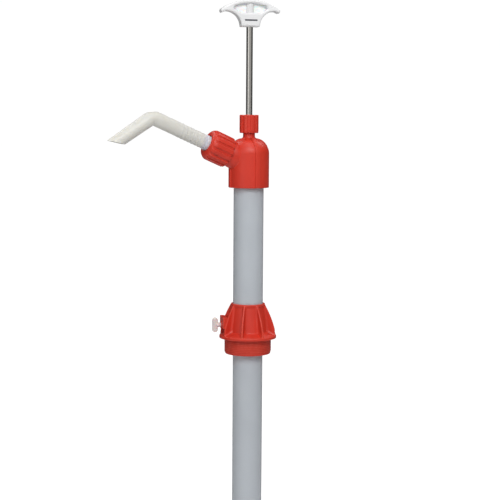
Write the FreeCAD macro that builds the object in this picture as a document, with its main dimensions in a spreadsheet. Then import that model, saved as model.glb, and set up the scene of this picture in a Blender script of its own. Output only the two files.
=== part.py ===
import FreeCAD, Part
import math
import os
import re
import Sketcher

# Hand drum barrel pump, in millimetres.
# Origin: centre of the bung adapter's flange, on the face that seats on the drum.
# +Z runs up the pump tube, and the spout points along -X.

Vector = FreeCAD.Vector
Y_AXIS = Vector(0, 1, 0)
Z_AXIS = Vector(0, 0, 1)

SIZES = {
    # fits
    "running_gap": 0.06,
    "loose_gap": 0.35,
    "seat_gap": 0.05,
    # pump tube
    "tube_radius": 19.05,
    "tube_wall": 2.4,
    "tube_length": 914.4,
    "tube_insertion": 28,
    # bung adapter
    "thread_radius": 30.15,
    "thread_length": 20,
    "thread_pitch": 2.2,
    "thread_depth": 1.1,
    "thread_groove_half": 0.88,
    "thread_turns": 8,
    "flange_lip": 6.35,
    "flange_rim": 4,
    "rim_round": 1.5,
    "skirt_wall": 6.4,
    "skirt_height": 9,
    "adapter_height": 44.3,
    "adapter_top_wall": 2.2,
    "collar_wall": 2.75,
    "collar_height": 4,
    "collar_round": 1,
    "gusset_count": 8,
    "gusset_thickness": 2.5,
    "gusset_inset": 0.6,
    "gusset_shoulder": 9,
    "gusset_curve": 115,
    "gusset_first_angle": 143,
    "seal_height": 28,
    "seal_width": 4,
    "seal_depth": 1.9,
    # thumb screw
    "screw_height": 17,
    "screw_radius": 3,
    "screw_standoff": 5.4,
    "screw_block_inset": 2.5,
    "screw_block_thickness": 6,
    "screw_block_bottom": 13.4,
    "screw_block_height": 14.4,
    "wing_height": 18.8,
    "wing_width": 6.4,
    "wing_thickness": 5,
    # head
    "head_bottom": 191.8,
    "head_wall": 6.6,
    "head_side": 43,
    "neck_wall": 1.95,
    "neck_length": 21,
    "neck_fillet": 4.5,
    "head_rib_count": 4,
    "head_rib_width": 5.8,
    "head_rib_rise": 0.8,
    "o_ring_height": 7.2,
    "o_ring_width": 3,
    "o_ring_depth": 1.9,
    "packing_width": 1.5,
    "packing_height": 10,
    "gland_depth": 14,
    "follower_flange": 2.4,
    "follower_length": 6,
    # outlet boss, spout nut and spout, along the boss axis
    "boss_height": 31.3,
    "boss_tilt": 23.5,
    "boss_start": 10,
    "boss_reach": 29.35,
    "boss_bore": 8,
    "boss_wall": 7.4,
    "gasket_thickness": 2,
    "spout_nut_grip": 23,
    "spout_nut_length": 31,
    "spout_nut_wall": 4.15,
    "spout_nut_shoulder": 8,
    "spout_nut_mouth_gap": 0.6,
    "spout_nut_grooves": 14,
    "spout_nut_groove_depth": 1.1,
    "spout_nut_groove_width": 2.6,
    "spout_radius": 9,
    "spout_taper": 0.85,
    "spout_wall": 1.9,
    "spout_flange_inset": 2,
    "spout_flange": 3,
    "spout_collar_rise": 0.9,
    "spout_collar": 7,
    "spout_leg": 85.5,
    "spout_bend": 56.8,
    "spout_bend_radius": 10,
    "spout_drop": 56,
    "spout_bevel": 44,
    "ridge_count": 7,
    "ridge_start": 15,
    "ridge_pitch": 5,
    "ridge_radius": 0.8,
    "ridge_rise": 0.4,
    # packing nut
    "packing_nut_wall": 4.45,
    "packing_nut_grip": 13.3,
    "packing_nut_height": 22.9,
    "packing_nut_round": 1,
    "packing_nut_ribs": 9,
    "packing_nut_first_rib": 25,
    "packing_nut_groove_depth": 1.1,
    # rod and handle
    "rod_radius": 4.1,
    "rod_tip_chamfer": 0.6,
    "handle_bottom": 393.2,
    "handle_height": 33.8,
    "handle_half_length": 37.8,
    "handle_angle": -13,
    "handle_thickness": 16,
    "handle_top_curve": 64,
    "handle_tip_radius": 2.9,
    "handle_tip_centre_height": 19.8,
    "handle_tip_lean": 66,
    "handle_neck_half": 11.9,
    "handle_neck_straight": 2,
    "handle_under_curve": 18.8,
    "handle_under_reach": 31.5,
    "handle_under_height": 19.2,
    "handle_web": 4,
    "handle_rim": 4.6,
    "handle_window_half": 21.4,
    "handle_window_floor_half": 11.5,
    "handle_window_height": 12.2,
    "handle_window_shoulder": 5,
    "handle_socket": 18,
    "handle_socket_wall": 1.4,
    # piston, heights above the piston's bottom face
    "stroke_down": 108,
    "piston_clearance": 3,
    "piston_gap": 0.45,
    "piston_skirt": 12,
    "piston_ring_bottom": 4,
    "piston_ring_height": 5,
    "piston_ring_depth": 2.6,
    "piston_ball_radius": 6.5,
    "piston_seat_overlap": 1,
    "piston_ball_room": 1.1,
    "piston_chamber": 15,
    "piston_cage_wall": 3.9,
    "piston_cap": 9,
    "piston_tip": 2,
    "piston_socket": 7,
    "piston_window_count": 4,
    "piston_window_width": 7,
    "piston_window_height": 10,
    "jam_nut_wall": 2.4,
    "jam_nut_height": 5,
    # foot valve, heights from the tube's lower end
    "foot_flange": 8,
    "foot_plug": 24,
    "foot_seat": 4,
    "foot_ball_radius": 8,
    "foot_seat_overlap": 1.5,
    "foot_ball_room": 2.5,
    "foot_ring_bottom": 12,
    "foot_ring_height": 3,
    "foot_ring_depth": 1.9,
    "foot_guard": 4,
    "foot_guard_wall": 5.6,
    "foot_guard_bar": 4,
    "foot_guard_bar_grip": 1,
    "strainer_inset": 3.55,
    "strainer_height": 16,
    "strainer_wall": 2,
    "strainer_slots": 12,
    "strainer_slot_width": 3,
    "strainer_slot_height": 9,
}

doc = FreeCAD.newDocument("DrumPump")


def make_sheet():
    """One row per driving size: its name, and its value under that name as alias."""
    sizes = doc.addObject("Spreadsheet::Sheet", "Sizes")
    for row, (name, value) in enumerate(SIZES.items(), start=1):
        sizes.set(f"A{row}", name)
        sizes.set(f"B{row}", str(value))
        sizes.setAlias(f"B{row}", name)
    doc.recompute()
    return sizes


sheet = make_sheet()

# Radii and heights that several pieces share, worked out from the driving sizes.
TUBE_TOP = "(head_bottom + tube_insertion)"
TUBE_BOTTOM = f"({TUBE_TOP} - tube_length)"
TUBE_BORE = "(tube_radius - tube_wall)"
TUBE_SOCKET = "(tube_radius + running_gap)"
HEAD_RADIUS = f"({TUBE_SOCKET} + head_wall)"
PACKING_RADIUS = "(rod_radius + packing_width)"
NECK_RADIUS = f"({PACKING_RADIUS} + neck_wall)"
DOME_BASE = "(head_bottom + head_side)"
DOME_RADIUS = f"({HEAD_RADIUS} - {NECK_RADIUS})"
FILLET_REACH = f"({DOME_RADIUS} + neck_fillet)"
FILLET_RISE = f"sqrt({FILLET_REACH} * {FILLET_REACH} - neck_fillet * neck_fillet)"
NECK_TOP = f"({DOME_BASE} + {DOME_RADIUS} + neck_length)"
PACKING_BOTTOM = f"({NECK_TOP} - gland_depth)"
PACKING_TOP = f"({PACKING_BOTTOM} + packing_height)"
FOLLOWER_TOP = f"({PACKING_TOP} + seat_gap + follower_length + follower_flange)"
PACKING_NUT_BOTTOM = f"({NECK_TOP} - packing_nut_grip)"
PACKING_NUT_TOP = f"({PACKING_NUT_BOTTOM} + packing_nut_height)"
PACKING_NUT_RADIUS = f"({NECK_RADIUS} + running_gap + packing_nut_wall)"
O_RING_BOTTOM = "(head_bottom + o_ring_height)"
BOSS_HEIGHT = "(head_bottom + boss_height)"
BOSS_END = f"({HEAD_RADIUS} + boss_reach)"
BOSS_RADIUS = "(boss_bore + boss_wall)"
GASKET_END = f"({BOSS_END} + gasket_thickness)"
SPOUT_NUT_BACK = f"({BOSS_END} - spout_nut_grip)"
SPOUT_NUT_FRONT = f"({SPOUT_NUT_BACK} + spout_nut_length)"
SPOUT_NUT_RADIUS = f"({BOSS_RADIUS} + running_gap + spout_nut_wall)"
SPOUT_FLANGE_RADIUS = f"({BOSS_RADIUS} - spout_flange_inset)"
SPOUT_COLLAR_RADIUS = "(spout_radius + spout_collar_rise)"
SPOUT_ELBOW = f"({GASKET_END} + spout_leg)"
BEND_SETBACK = "spout_bend_radius * tan(spout_bend / 2)"
SOCKET_TOP = "(handle_bottom + handle_socket)"
FOOT_TOP = f"({TUBE_BOTTOM} + foot_plug + foot_guard)"
FOOT_INLET = "(foot_ball_radius - foot_seat_overlap)"
PISTON_BOTTOM = f"({FOOT_TOP} + piston_clearance + stroke_down)"
PISTON_TOP = "(piston_skirt + piston_chamber + piston_cap)"
PISTON_RADIUS = f"({TUBE_BORE} - piston_gap)"
PISTON_RING_BORE = f"({PISTON_RADIUS} - piston_ring_depth)"
PISTON_INLET = "(piston_ball_radius - piston_seat_overlap)"
ROD_BOTTOM = f"({PISTON_BOTTOM} + {PISTON_TOP} - piston_socket)"
FLANGE_RADIUS = "(thread_radius + flange_lip)"
BLOCK_OUTER = f"({FLANGE_RADIUS} - screw_block_inset)"
BLOCK_INNER = f"({BLOCK_OUTER} - screw_block_thickness)"
HALF_GUSSET_STEP = "(180 / gusset_count)"
SCREW_ANGLE = f"(gusset_first_angle + {HALF_GUSSET_STEP})"
COLLAR_RADIUS = f"({TUBE_SOCKET} + collar_wall)"
GUSSET_RADIUS = f"({FLANGE_RADIUS} - gusset_inset)"


def formula(text):
    """The spreadsheet expression for a formula written with plain size names."""
    return re.sub(r"\b([a-z]\w*)\b(?!\()", r"Sizes.\1", text)


def value(text):
    return float(sheet.evalExpression(formula(text)))


def bind(item, **properties):
    for name, text in properties.items():
        item.setExpression(name.replace("__", "."), formula(text))


def origin_feature(body, role):
    return next(f for f in body.Origin.OriginFeatures if f.Role == role)


def new_body(name):
    body = doc.addObject("PartDesign::Body", name)
    body.Label = name
    return body


def new_sketch(body, plane, offset=None, turn_axis=None, turn=None):
    """A sketch on one of the body's origin planes, shifted and turned in that plane's own axes."""
    sketch = body.newObject("Sketcher::SketchObject", f"{body.Name}_sketch")
    sketch.AttachmentSupport = [(origin_feature(body, plane), "")]
    sketch.MapMode = "FlatFace"
    if turn_axis:
        sketch.AttachmentOffset = FreeCAD.Placement(Vector(), FreeCAD.Rotation(turn_axis, 30))
        bind(sketch, AttachmentOffset__Rotation__Angle=turn)
    for axis, text in (offset or {}).items():
        bind(sketch, **{f"AttachmentOffset__Base__{axis}": text})
    return sketch


def arc_between(start, end, radius, side):
    """The shorter arc from start to end, with its centre to the left (side 1) or right (-1)."""
    chord = end - start
    rise = math.sqrt(max(radius ** 2 - chord.Length ** 2 / 4, 0))
    left = Vector(-chord.y, chord.x, 0).normalize()
    centre = start + chord / 2 + left * rise * side
    middle = centre - left * radius * side
    if side > 0:
        return Part.Arc(start, middle, end)
    return Part.Arc(end, middle, start)


def pin_point(sketch, edge, point, x_text, y_text):
    """Ties one point of the sketch to its two formulas."""
    for kind, text, axis in (("DistanceX", x_text, -2), ("DistanceY", y_text, -1)):
        if text == "0":
            sketch.addConstraint(Sketcher.Constraint("PointOnObject", edge, point, axis))
            continue
        index = sketch.addConstraint(Sketcher.Constraint(kind, -1, 1, edge, point, value(text)))
        name = f"{kind}{edge}"
        sketch.renameConstraint(index, name)
        sketch.setExpression(f"Constraints.{name}", formula(text))


def draw_outline(sketch, corners):
    """A closed outline. A corner is (x, y), or (x, y, radius, side) when an arc leads to it."""
    points = [Vector(value(c[0]), value(c[1]), 0) for c in corners]
    base = sketch.GeometryCount
    count = len(corners)
    arcs = []
    for i, start in enumerate(points):
        target = corners[(i + 1) % count]
        end = points[(i + 1) % count]
        if len(target) == 2:
            sketch.addGeometry(Part.LineSegment(start, end), False)
        else:
            sketch.addGeometry(arc_between(start, end, value(target[2]), target[3]), False)
            arcs.append((base + i, target[2]))
    ends = {}
    for i in range(count):
        edge = sketch.Geometry[base + i]
        flipped = (edge.StartPoint - points[i]).Length > (edge.EndPoint - points[i]).Length
        ends[i] = (2, 1) if flipped else (1, 2)
    for i in range(count):
        following = (i + 1) % count
        sketch.addConstraint(Sketcher.Constraint(
            "Coincident", base + i, ends[i][1], base + following, ends[following][0]))
        pin_point(sketch, base + i, ends[i][0], corners[i][0], corners[i][1])
    for edge, radius in arcs:
        index = sketch.addConstraint(Sketcher.Constraint("Radius", edge, value(radius)))
        sketch.renameConstraint(index, f"Radius{edge}")
        sketch.setExpression(f"Constraints.Radius{edge}", formula(radius))
    return sketch


def draw_circle(sketch, radius, x_text="0", y_text="0"):
    centre = Vector(value(x_text), value(y_text), 0)
    edge = sketch.addGeometry(Part.Circle(centre, Z_AXIS, value(radius)), False)
    pin_point(sketch, edge, 3, x_text, y_text)
    index = sketch.addConstraint(Sketcher.Constraint("Radius", edge, value(radius)))
    sketch.renameConstraint(index, f"Radius{edge}")
    sketch.setExpression(f"Constraints.Radius{edge}", formula(radius))
    return sketch


def spin(body, kind, sketch):
    """A full turn of the sketch about its own vertical axis, adding or cutting."""
    feature = body.newObject(f"PartDesign::{kind}", f"{body.Name}_{kind.lower()}")
    feature.Profile = sketch
    feature.ReferenceAxis = (sketch, ["V_Axis"])
    feature.Angle = 360
    body.Tip = feature
    return feature


def extrude(body, kind, sketch, length, midplane=False, reverse=False):
    feature = body.newObject(f"PartDesign::{kind}", f"{body.Name}_{kind.lower()}")
    feature.Profile = sketch
    feature.Type = 0
    feature.SideType = "Symmetric" if midplane else "One side"
    feature.Reversed = reverse
    bind(feature, Length=length)
    body.Tip = feature
    return feature


def around(body, feature, count):
    """Repeats a feature evenly about the body's own Z axis."""
    pattern = body.newObject("PartDesign::PolarPattern", f"{body.Name}_pattern")
    pattern.Originals = [feature]
    pattern.Axis = (origin_feature(body, "Z_Axis"), [""])
    pattern.Angle = 360
    bind(pattern, Occurrences=count)
    body.Tip = pattern
    return pattern


def turned(name, corners):
    """A body turned on a lathe: its outline spun about Z."""
    body = new_body(name)
    spin(body, "Revolution", draw_outline(new_sketch(body, "XZ_Plane"), corners))
    return body


def box_corners(x0, y0, x1, y1):
    return [(x0, y0), (x1, y0), (x1, y1), (x0, y1)]


def ring(name, inner, outer, bottom, height):
    """A plain ring about Z, as one cylinder cut from another."""
    solid = doc.addObject("Part::Cylinder", f"{name}_outside")
    bore = doc.addObject("Part::Cylinder", f"{name}_bore")
    bind(solid, Radius=outer, Height=height, Placement__Base__z=bottom)
    bind(bore, Radius=inner, Height=height, Placement__Base__z=bottom)
    cut = doc.addObject("Part::Cut", name)
    cut.Base = solid
    cut.Tool = bore
    cut.Label = name
    return cut


def ball(name, radius, height):
    sphere = doc.addObject("Part::Sphere", name)
    sphere.Label = name
    bind(sphere, Radius=radius, Placement__Base__z=height)
    return sphere


def along_boss(item):
    """Stands a piece made about its own Z on the head's tilted outlet axis."""
    item.Placement = FreeCAD.Placement(Vector(), FreeCAD.Rotation(-Y_AXIS, 60))
    bind(item, Placement__Base__z=BOSS_HEIGHT, Placement__Rotation__Angle="90 - boss_tilt")
    return item


def lift(item, height):
    bind(item, Placement__Base__z=height)
    return item


# ---------------------------------------------------------------- bung adapter

def adapter_outline():
    return [
        (TUBE_SOCKET, "-thread_length"),
        ("thread_radius - thread_depth", "-thread_length"),
        ("thread_radius", "-thread_length + thread_depth"),
        ("thread_radius", "0"),
        (FLANGE_RADIUS, "0"),
        (FLANGE_RADIUS, "flange_rim - rim_round"),
        (f"{FLANGE_RADIUS} - rim_round", "flange_rim", "rim_round", 1),
        (f"{TUBE_SOCKET} + skirt_wall", "skirt_height"),
        (f"{TUBE_SOCKET} + adapter_top_wall", "adapter_height - collar_height"),
        (COLLAR_RADIUS, "adapter_height - collar_height + collar_round"),
        (COLLAR_RADIUS, "adapter_height - collar_round"),
        (f"{COLLAR_RADIUS} - collar_round", "adapter_height", "collar_round", 1),
        (f"{TUBE_SOCKET} + collar_round", "adapter_height"),
        (TUBE_SOCKET, "adapter_height - collar_round"),
    ]


def cut_thread(body):
    """V grooves a pitch apart, on a tapered pipe thread's major diameter."""
    sketch = new_sketch(body, "XZ_Plane")
    draw_outline(sketch, [
        ("thread_radius - thread_depth", "-thread_pitch"),
        ("thread_radius + seat_gap", "-thread_pitch - thread_groove_half"),
        ("thread_radius + seat_gap", "-thread_pitch + thread_groove_half"),
    ])
    groove = spin(body, "Groove", sketch)
    pattern = body.newObject("PartDesign::LinearPattern", "bung_adapter_thread")
    pattern.Originals = [groove]
    pattern.Direction = (origin_feature(body, "Z_Axis"), [""])
    pattern.Reversed = True
    bind(pattern, Length="thread_pitch * (thread_turns - 1)", Occurrences="thread_turns")
    body.Tip = pattern


def make_bung_adapter():
    body = turned("bung_adapter", adapter_outline())
    cut_thread(body)

    rib = new_sketch(body, "XZ_Plane", turn_axis=Y_AXIS, turn="gusset_first_angle")
    inner = f"{TUBE_SOCKET} + collar_round"
    draw_outline(rib, [
        (inner, "flange_rim - rim_round"),
        (GUSSET_RADIUS, "flange_rim - rim_round"),
        (GUSSET_RADIUS, "gusset_shoulder"),
        (COLLAR_RADIUS, "adapter_height - collar_round", "gusset_curve", 1),
        (inner, "adapter_height - collar_round"),
    ])
    around(body, extrude(body, "Pad", rib, "gusset_thickness", midplane=True), "gusset_count")

    block = new_sketch(body, "XY_Plane", offset={"z": "screw_block_bottom"},
                       turn_axis=Z_AXIS, turn=SCREW_ANGLE)
    spread = f"tan({HALF_GUSSET_STEP})"
    draw_outline(block, [
        (BLOCK_INNER, f"-{BLOCK_INNER} * {spread}"),
        (BLOCK_OUTER, f"-{BLOCK_OUTER} * {spread}"),
        (BLOCK_OUTER, f"{BLOCK_OUTER} * {spread}"),
        (BLOCK_INNER, f"{BLOCK_INNER} * {spread}"),
    ])
    extrude(body, "Pad", block, "screw_block_height")

    hole = new_sketch(body, "YZ_Plane", turn_axis=Y_AXIS, turn=SCREW_ANGLE)
    draw_circle(hole, "screw_radius + running_gap", y_text="screw_height")
    extrude(body, "Pocket", hole, f"{BLOCK_OUTER} + seat_gap", reverse=True)

    seat = new_sketch(body, "XZ_Plane")
    draw_outline(seat, box_corners(
        "tube_radius - seat_gap", "seal_height",
        f"{TUBE_SOCKET} + seal_depth", "seal_height + seal_width"))
    spin(body, "Groove", seat)
    return body


def make_adapter_seal():
    return ring("adapter_seal", "tube_radius + running_gap / 3",
                f"{TUBE_SOCKET} + seal_depth - seat_gap",
                "seal_height + seat_gap", "seal_width - 2 * seat_gap")


SCREW_TIP = "(tube_radius + seat_gap)"
WING_FOOT = f"({BLOCK_OUTER} + screw_standoff - {SCREW_TIP})"


def make_thumb_screw():
    """A plastic screw with a flat upright wing, pointing at the tube."""
    body = new_body("thumb_screw")
    shank = new_sketch(body, "XY_Plane")
    draw_circle(shank, "screw_radius")
    extrude(body, "Pad", shank, f"{WING_FOOT} + wing_width / 2")
    wing = new_sketch(body, "XZ_Plane")
    half, end = "wing_width / 2", "(wing_height / 2 - wing_width / 2)"
    middle, top = f"{WING_FOOT} + wing_width / 2", f"{WING_FOOT} + wing_width"
    draw_outline(wing, [
        (f"-{end}", WING_FOOT, half, 1),
        (end, WING_FOOT),
        ("wing_height / 2", middle, half, 1),
        (end, top, half, 1),
        (f"-{end}", top),
        ("-wing_height / 2", middle, half, 1),
    ])
    extrude(body, "Pad", wing, "wing_thickness", midplane=True)
    return body


def place_thumb_screw(body):
    """Lays the screw along its radius, with its wing upright and its tip just off the tube."""
    angle = value(SCREW_ANGLE)
    upright = FreeCAD.Rotation(Y_AXIS, 90)
    body.Placement = FreeCAD.Placement(Vector(), FreeCAD.Rotation(Z_AXIS, angle).multiply(upright))
    bind(body, Placement__Base__x=f"{SCREW_TIP} * cos({SCREW_ANGLE})",
         Placement__Base__y=f"{SCREW_TIP} * sin({SCREW_ANGLE})", Placement__Base__z="screw_height")
    return body


# ---------------------------------------------------------------- tube and head

def make_tube():
    return ring("tube", TUBE_BORE, "tube_radius", TUBE_BOTTOM, "tube_length")


def dome_outline(grow):
    """The head's outside, from the axis out and up over the dome into the neck's fillet."""
    share = f"({DOME_RADIUS} + {grow}) / {FILLET_REACH}"
    return [
        ("0", "head_bottom"),
        (f"{HEAD_RADIUS} + {grow}", "head_bottom"),
        (f"{HEAD_RADIUS} + {grow}", DOME_BASE),
        (f"{NECK_RADIUS} + neck_fillet * {share}", f"{DOME_BASE} + {FILLET_RISE} * {share}",
         f"{DOME_RADIUS} + {grow}", 1),
        (f"{NECK_RADIUS} + {grow}", f"{DOME_BASE} + {FILLET_RISE}", f"neck_fillet - {grow}", -1),
    ]


def make_head():
    body = turned("head", dome_outline("0") + [(NECK_RADIUS, NECK_TOP), ("0", NECK_TOP)])

    rib = new_sketch(body, "XZ_Plane")
    draw_outline(rib, dome_outline("head_rib_rise") + [("0", f"{DOME_BASE} + {FILLET_RISE}")])
    around(body, extrude(body, "Pad", rib, "head_rib_width", midplane=True), "head_rib_count")

    boss = new_sketch(body, "XZ_Plane", offset={"y": BOSS_HEIGHT},
                      turn_axis=Z_AXIS, turn="90 - boss_tilt")
    draw_outline(boss, box_corners("0", "boss_start", BOSS_RADIUS, BOSS_END))
    spin(body, "Revolution", boss)

    cavity = new_sketch(body, "XZ_Plane")
    rod_hole = "(rod_radius + loose_gap)"
    roof = f"({TUBE_BORE} - {rod_hole})"
    draw_outline(cavity, [
        ("0", "head_bottom - seat_gap"),
        (TUBE_SOCKET, "head_bottom - seat_gap"),
        (TUBE_SOCKET, TUBE_TOP),
        (TUBE_BORE, TUBE_TOP),
        (TUBE_BORE, DOME_BASE),
        (rod_hole, f"{DOME_BASE} + {roof}", roof, 1),
        (rod_hole, PACKING_BOTTOM),
        (PACKING_RADIUS, PACKING_BOTTOM),
        (PACKING_RADIUS, f"{NECK_TOP} + seat_gap"),
        ("0", f"{NECK_TOP} + seat_gap"),
    ])
    spin(body, "Groove", cavity)

    outlet = new_sketch(body, "XZ_Plane", offset={"y": BOSS_HEIGHT},
                        turn_axis=Z_AXIS, turn="90 - boss_tilt")
    draw_outline(outlet, box_corners("0", "boss_start", "boss_bore", f"{BOSS_END} + seat_gap"))
    spin(body, "Groove", outlet)

    seat = new_sketch(body, "XZ_Plane")
    draw_outline(seat, box_corners(
        "tube_radius - seat_gap", O_RING_BOTTOM,
        f"{TUBE_SOCKET} + o_ring_depth", f"{O_RING_BOTTOM} + o_ring_width"))
    spin(body, "Groove", seat)
    return body


def make_tube_o_ring():
    return ring("tube_o_ring", "tube_radius + running_gap / 3",
                f"{TUBE_SOCKET} + o_ring_depth - seat_gap",
                f"{O_RING_BOTTOM} + seat_gap", "o_ring_width - 2 * seat_gap")


def make_rod_packing():
    return ring("rod_packing", "rod_radius + running_gap / 2", f"{PACKING_RADIUS} - seat_gap",
                PACKING_BOTTOM, "packing_height")


def make_gland_follower():
    """The flanged bush that the packing nut presses down on the rod packing."""
    bottom = f"{PACKING_TOP} + seat_gap"
    shoulder = f"{NECK_TOP} + seat_gap"
    return turned("gland_follower", [
        ("rod_radius + running_gap", bottom),
        (f"{PACKING_RADIUS} - running_gap", bottom),
        (f"{PACKING_RADIUS} - running_gap", shoulder),
        (f"{NECK_RADIUS} - loose_gap", shoulder),
        (f"{NECK_RADIUS} - loose_gap", FOLLOWER_TOP),
        ("rod_radius + running_gap", FOLLOWER_TOP),
    ])


def make_packing_nut():
    rounded = f"{PACKING_NUT_RADIUS} - packing_nut_round"
    bore = f"{NECK_RADIUS} + running_gap"
    body = turned("packing_nut", [
        (bore, PACKING_NUT_BOTTOM),
        (rounded, PACKING_NUT_BOTTOM),
        (PACKING_NUT_RADIUS, f"{PACKING_NUT_BOTTOM} + packing_nut_round", "packing_nut_round", 1),
        (PACKING_NUT_RADIUS, f"{PACKING_NUT_TOP} - packing_nut_round"),
        (rounded, PACKING_NUT_TOP, "packing_nut_round", 1),
        ("rod_radius + loose_gap", PACKING_NUT_TOP),
        ("rod_radius + loose_gap", f"{FOLLOWER_TOP} + seat_gap"),
        (bore, f"{FOLLOWER_TOP} + seat_gap"),
    ])
    flute = new_sketch(body, "XY_Plane", offset={"z": f"{PACKING_NUT_BOTTOM} - seat_gap"},
                       turn_axis=Z_AXIS, turn="packing_nut_first_rib + 180 / packing_nut_ribs")
    half = f"{PACKING_NUT_RADIUS} * sin(90 / packing_nut_ribs)"
    draw_outline(flute, box_corners(
        f"{PACKING_NUT_RADIUS} - packing_nut_groove_depth", f"-{half}",
        f"{PACKING_NUT_RADIUS} + packing_nut_round", half))
    cut = extrude(body, "Pocket", flute, "packing_nut_height + 2 * seat_gap", reverse=True)
    around(body, cut, "packing_nut_ribs")
    return body


# ---------------------------------------------------------------- spout

def make_spout_nut():
    bore = f"{BOSS_RADIUS} + running_gap"
    mouth = f"{SPOUT_COLLAR_RADIUS} + spout_nut_mouth_gap"
    inside_end = f"{GASKET_END} + spout_flange + 2 * seat_gap"
    body = turned("spout_nut", [
        (bore, SPOUT_NUT_BACK),
        (SPOUT_NUT_RADIUS, SPOUT_NUT_BACK),
        (SPOUT_NUT_RADIUS, f"{SPOUT_NUT_FRONT} - spout_nut_shoulder"),
        (f"{SPOUT_NUT_RADIUS} - spout_nut_shoulder", SPOUT_NUT_FRONT, "spout_nut_shoulder", 1),
        (mouth, SPOUT_NUT_FRONT),
        (mouth, inside_end),
        (bore, inside_end),
    ])
    flute = new_sketch(body, "XY_Plane", offset={"z": f"{SPOUT_NUT_BACK} - seat_gap"})
    half = "spout_nut_groove_width / 2"
    draw_outline(flute, box_corners(
        f"{SPOUT_NUT_RADIUS} - spout_nut_groove_depth", f"-{half}",
        f"{SPOUT_NUT_RADIUS} + spout_nut_groove_depth", half))
    reach = "spout_nut_length - spout_nut_shoulder / 2"
    around(body, extrude(body, "Pocket", flute, reach, reverse=True), "spout_nut_grooves")
    return along_boss(body)


def make_spout_gasket():
    return along_boss(ring("spout_gasket", "boss_bore", SPOUT_FLANGE_RADIUS,
                           BOSS_END, "gasket_thickness"))


def primitive(kind, name, lean=None, **sizes):
    """A Part primitive standing on the spout's axis, leaned over towards the outlet if asked."""
    item = doc.addObject(f"Part::{kind}", name)
    if lean:
        item.Placement = FreeCAD.Placement(Vector(), FreeCAD.Rotation(-Y_AXIS, 30))
        bind(item, Placement__Rotation__Angle=lean)
    bind(item, **sizes)
    return item


def bend_segment(name, radius):
    """The elbow: part of a torus, stood up so that its arc starts along the straight leg."""
    item = doc.addObject("Part::Torus", name)
    item.Placement = FreeCAD.Placement(Vector(), FreeCAD.Rotation(Vector(1, 0, 0), 90))
    bind(item, Radius1="spout_bend_radius", Radius2=radius, Angle3="spout_bend",
         Placement__Base__x="-spout_bend_radius", Placement__Base__z=f"{SPOUT_ELBOW} - {BEND_SETBACK}")
    return item


def spout_limbs(name, shrink):
    """Straight leg, bent elbow and tapered leg, all smaller by the same wall."""
    radius = f"spout_radius - {shrink}"
    straight = primitive("Cylinder", f"{name}_leg", Radius=radius,
                         Height=f"{SPOUT_ELBOW} - {BEND_SETBACK} - {GASKET_END}",
                         Placement__Base__z=GASKET_END)
    elbow = bend_segment(f"{name}_elbow", radius)
    outlet = primitive("Cone", f"{name}_outlet", lean="spout_bend",
                       Radius1=radius, Radius2=f"{radius} - spout_taper",
                       Height=f"spout_drop + spout_radius - {BEND_SETBACK}",
                       Placement__Base__x=f"-{BEND_SETBACK} * sin(spout_bend)",
                       Placement__Base__z=f"{SPOUT_ELBOW} + {BEND_SETBACK} * cos(spout_bend)")
    return [straight, elbow, outlet]


def fused(name, shapes):
    item = doc.addObject("Part::MultiFuse", name)
    item.Shapes = shapes
    return item


def cut_from(name, base, tool):
    item = doc.addObject("Part::Cut", name)
    item.Base = base
    item.Tool = tool
    item.Label = name
    return item


def make_spout():
    outside = spout_limbs("spout_outside", "0")
    outside.append(primitive("Cylinder", "spout_flange_disc", Radius=SPOUT_FLANGE_RADIUS,
                             Height="spout_flange", Placement__Base__z=GASKET_END))
    outside.append(primitive("Cylinder", "spout_collar_ring", Radius=SPOUT_COLLAR_RADIUS,
                             Height="spout_flange + spout_collar", Placement__Base__z=GASKET_END))
    for index in range(int(value("ridge_count"))):
        outside.append(primitive(
            "Torus", f"spout_ridge_{index + 1}", Radius2="ridge_radius",
            Radius1="spout_radius + ridge_rise - ridge_radius",
            Placement__Base__z=f"{GASKET_END} + ridge_start + {index} * ridge_pitch"))
    inside = fused("spout_inside", spout_limbs("spout_bore", "spout_wall"))
    hollow = cut_from("spout_hollow", fused("spout_solid", outside), inside)
    half_side = "3 * spout_radius"
    face = "(spout_bend + spout_bevel)"
    beyond = primitive("Box", "spout_bevel_cut", lean=face, Length=f"2 * {half_side}",
                       Width=f"2 * {half_side}", Height=half_side,
                       Placement__Base__y=f"-{half_side}")
    bind(beyond,
         Placement__Base__x=f"-spout_drop * sin(spout_bend) - {half_side} * cos{face}",
         Placement__Base__z=f"{SPOUT_ELBOW} + spout_drop * cos(spout_bend)"
                            f" - {half_side} * sin{face}")
    return along_boss(cut_from("spout", hollow, beyond))


# ---------------------------------------------------------------- rod and handle

def make_rod():
    tip = "rod_radius - rod_tip_chamfer"
    return turned("rod", [
        ("0", ROD_BOTTOM),
        (tip, ROD_BOTTOM),
        ("rod_radius", f"{ROD_BOTTOM} + rod_tip_chamfer"),
        ("rod_radius", f"{SOCKET_TOP} - rod_tip_chamfer"),
        (tip, SOCKET_TOP),
        ("0", SOCKET_TOP),
    ])


HANDLE_TOP = "(handle_bottom + handle_height)"
TIP_X = "(handle_half_length - handle_tip_radius)"
TIP_Z = "(handle_bottom + handle_tip_centre_height)"
CROWN_X = f"({TIP_X} + handle_tip_radius * {TIP_X} / (handle_top_curve - handle_tip_radius))"
CROWN_Z = (f"({HANDLE_TOP} - handle_top_curve"
           f" + sqrt(handle_top_curve * handle_top_curve - {CROWN_X} * {CROWN_X}))")


def mirrored(right):
    """The same outline corner list, carried on across the vertical axis."""
    left = []
    for corner, following in zip(reversed(right), [right[-1]] + list(reversed(right))[:-1]):
        x_text = f"-({corner[0]})"
        arc = following[2:] if following is not corner else ()
        left.append((x_text, corner[1]) + tuple(arc))
    return left


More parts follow.
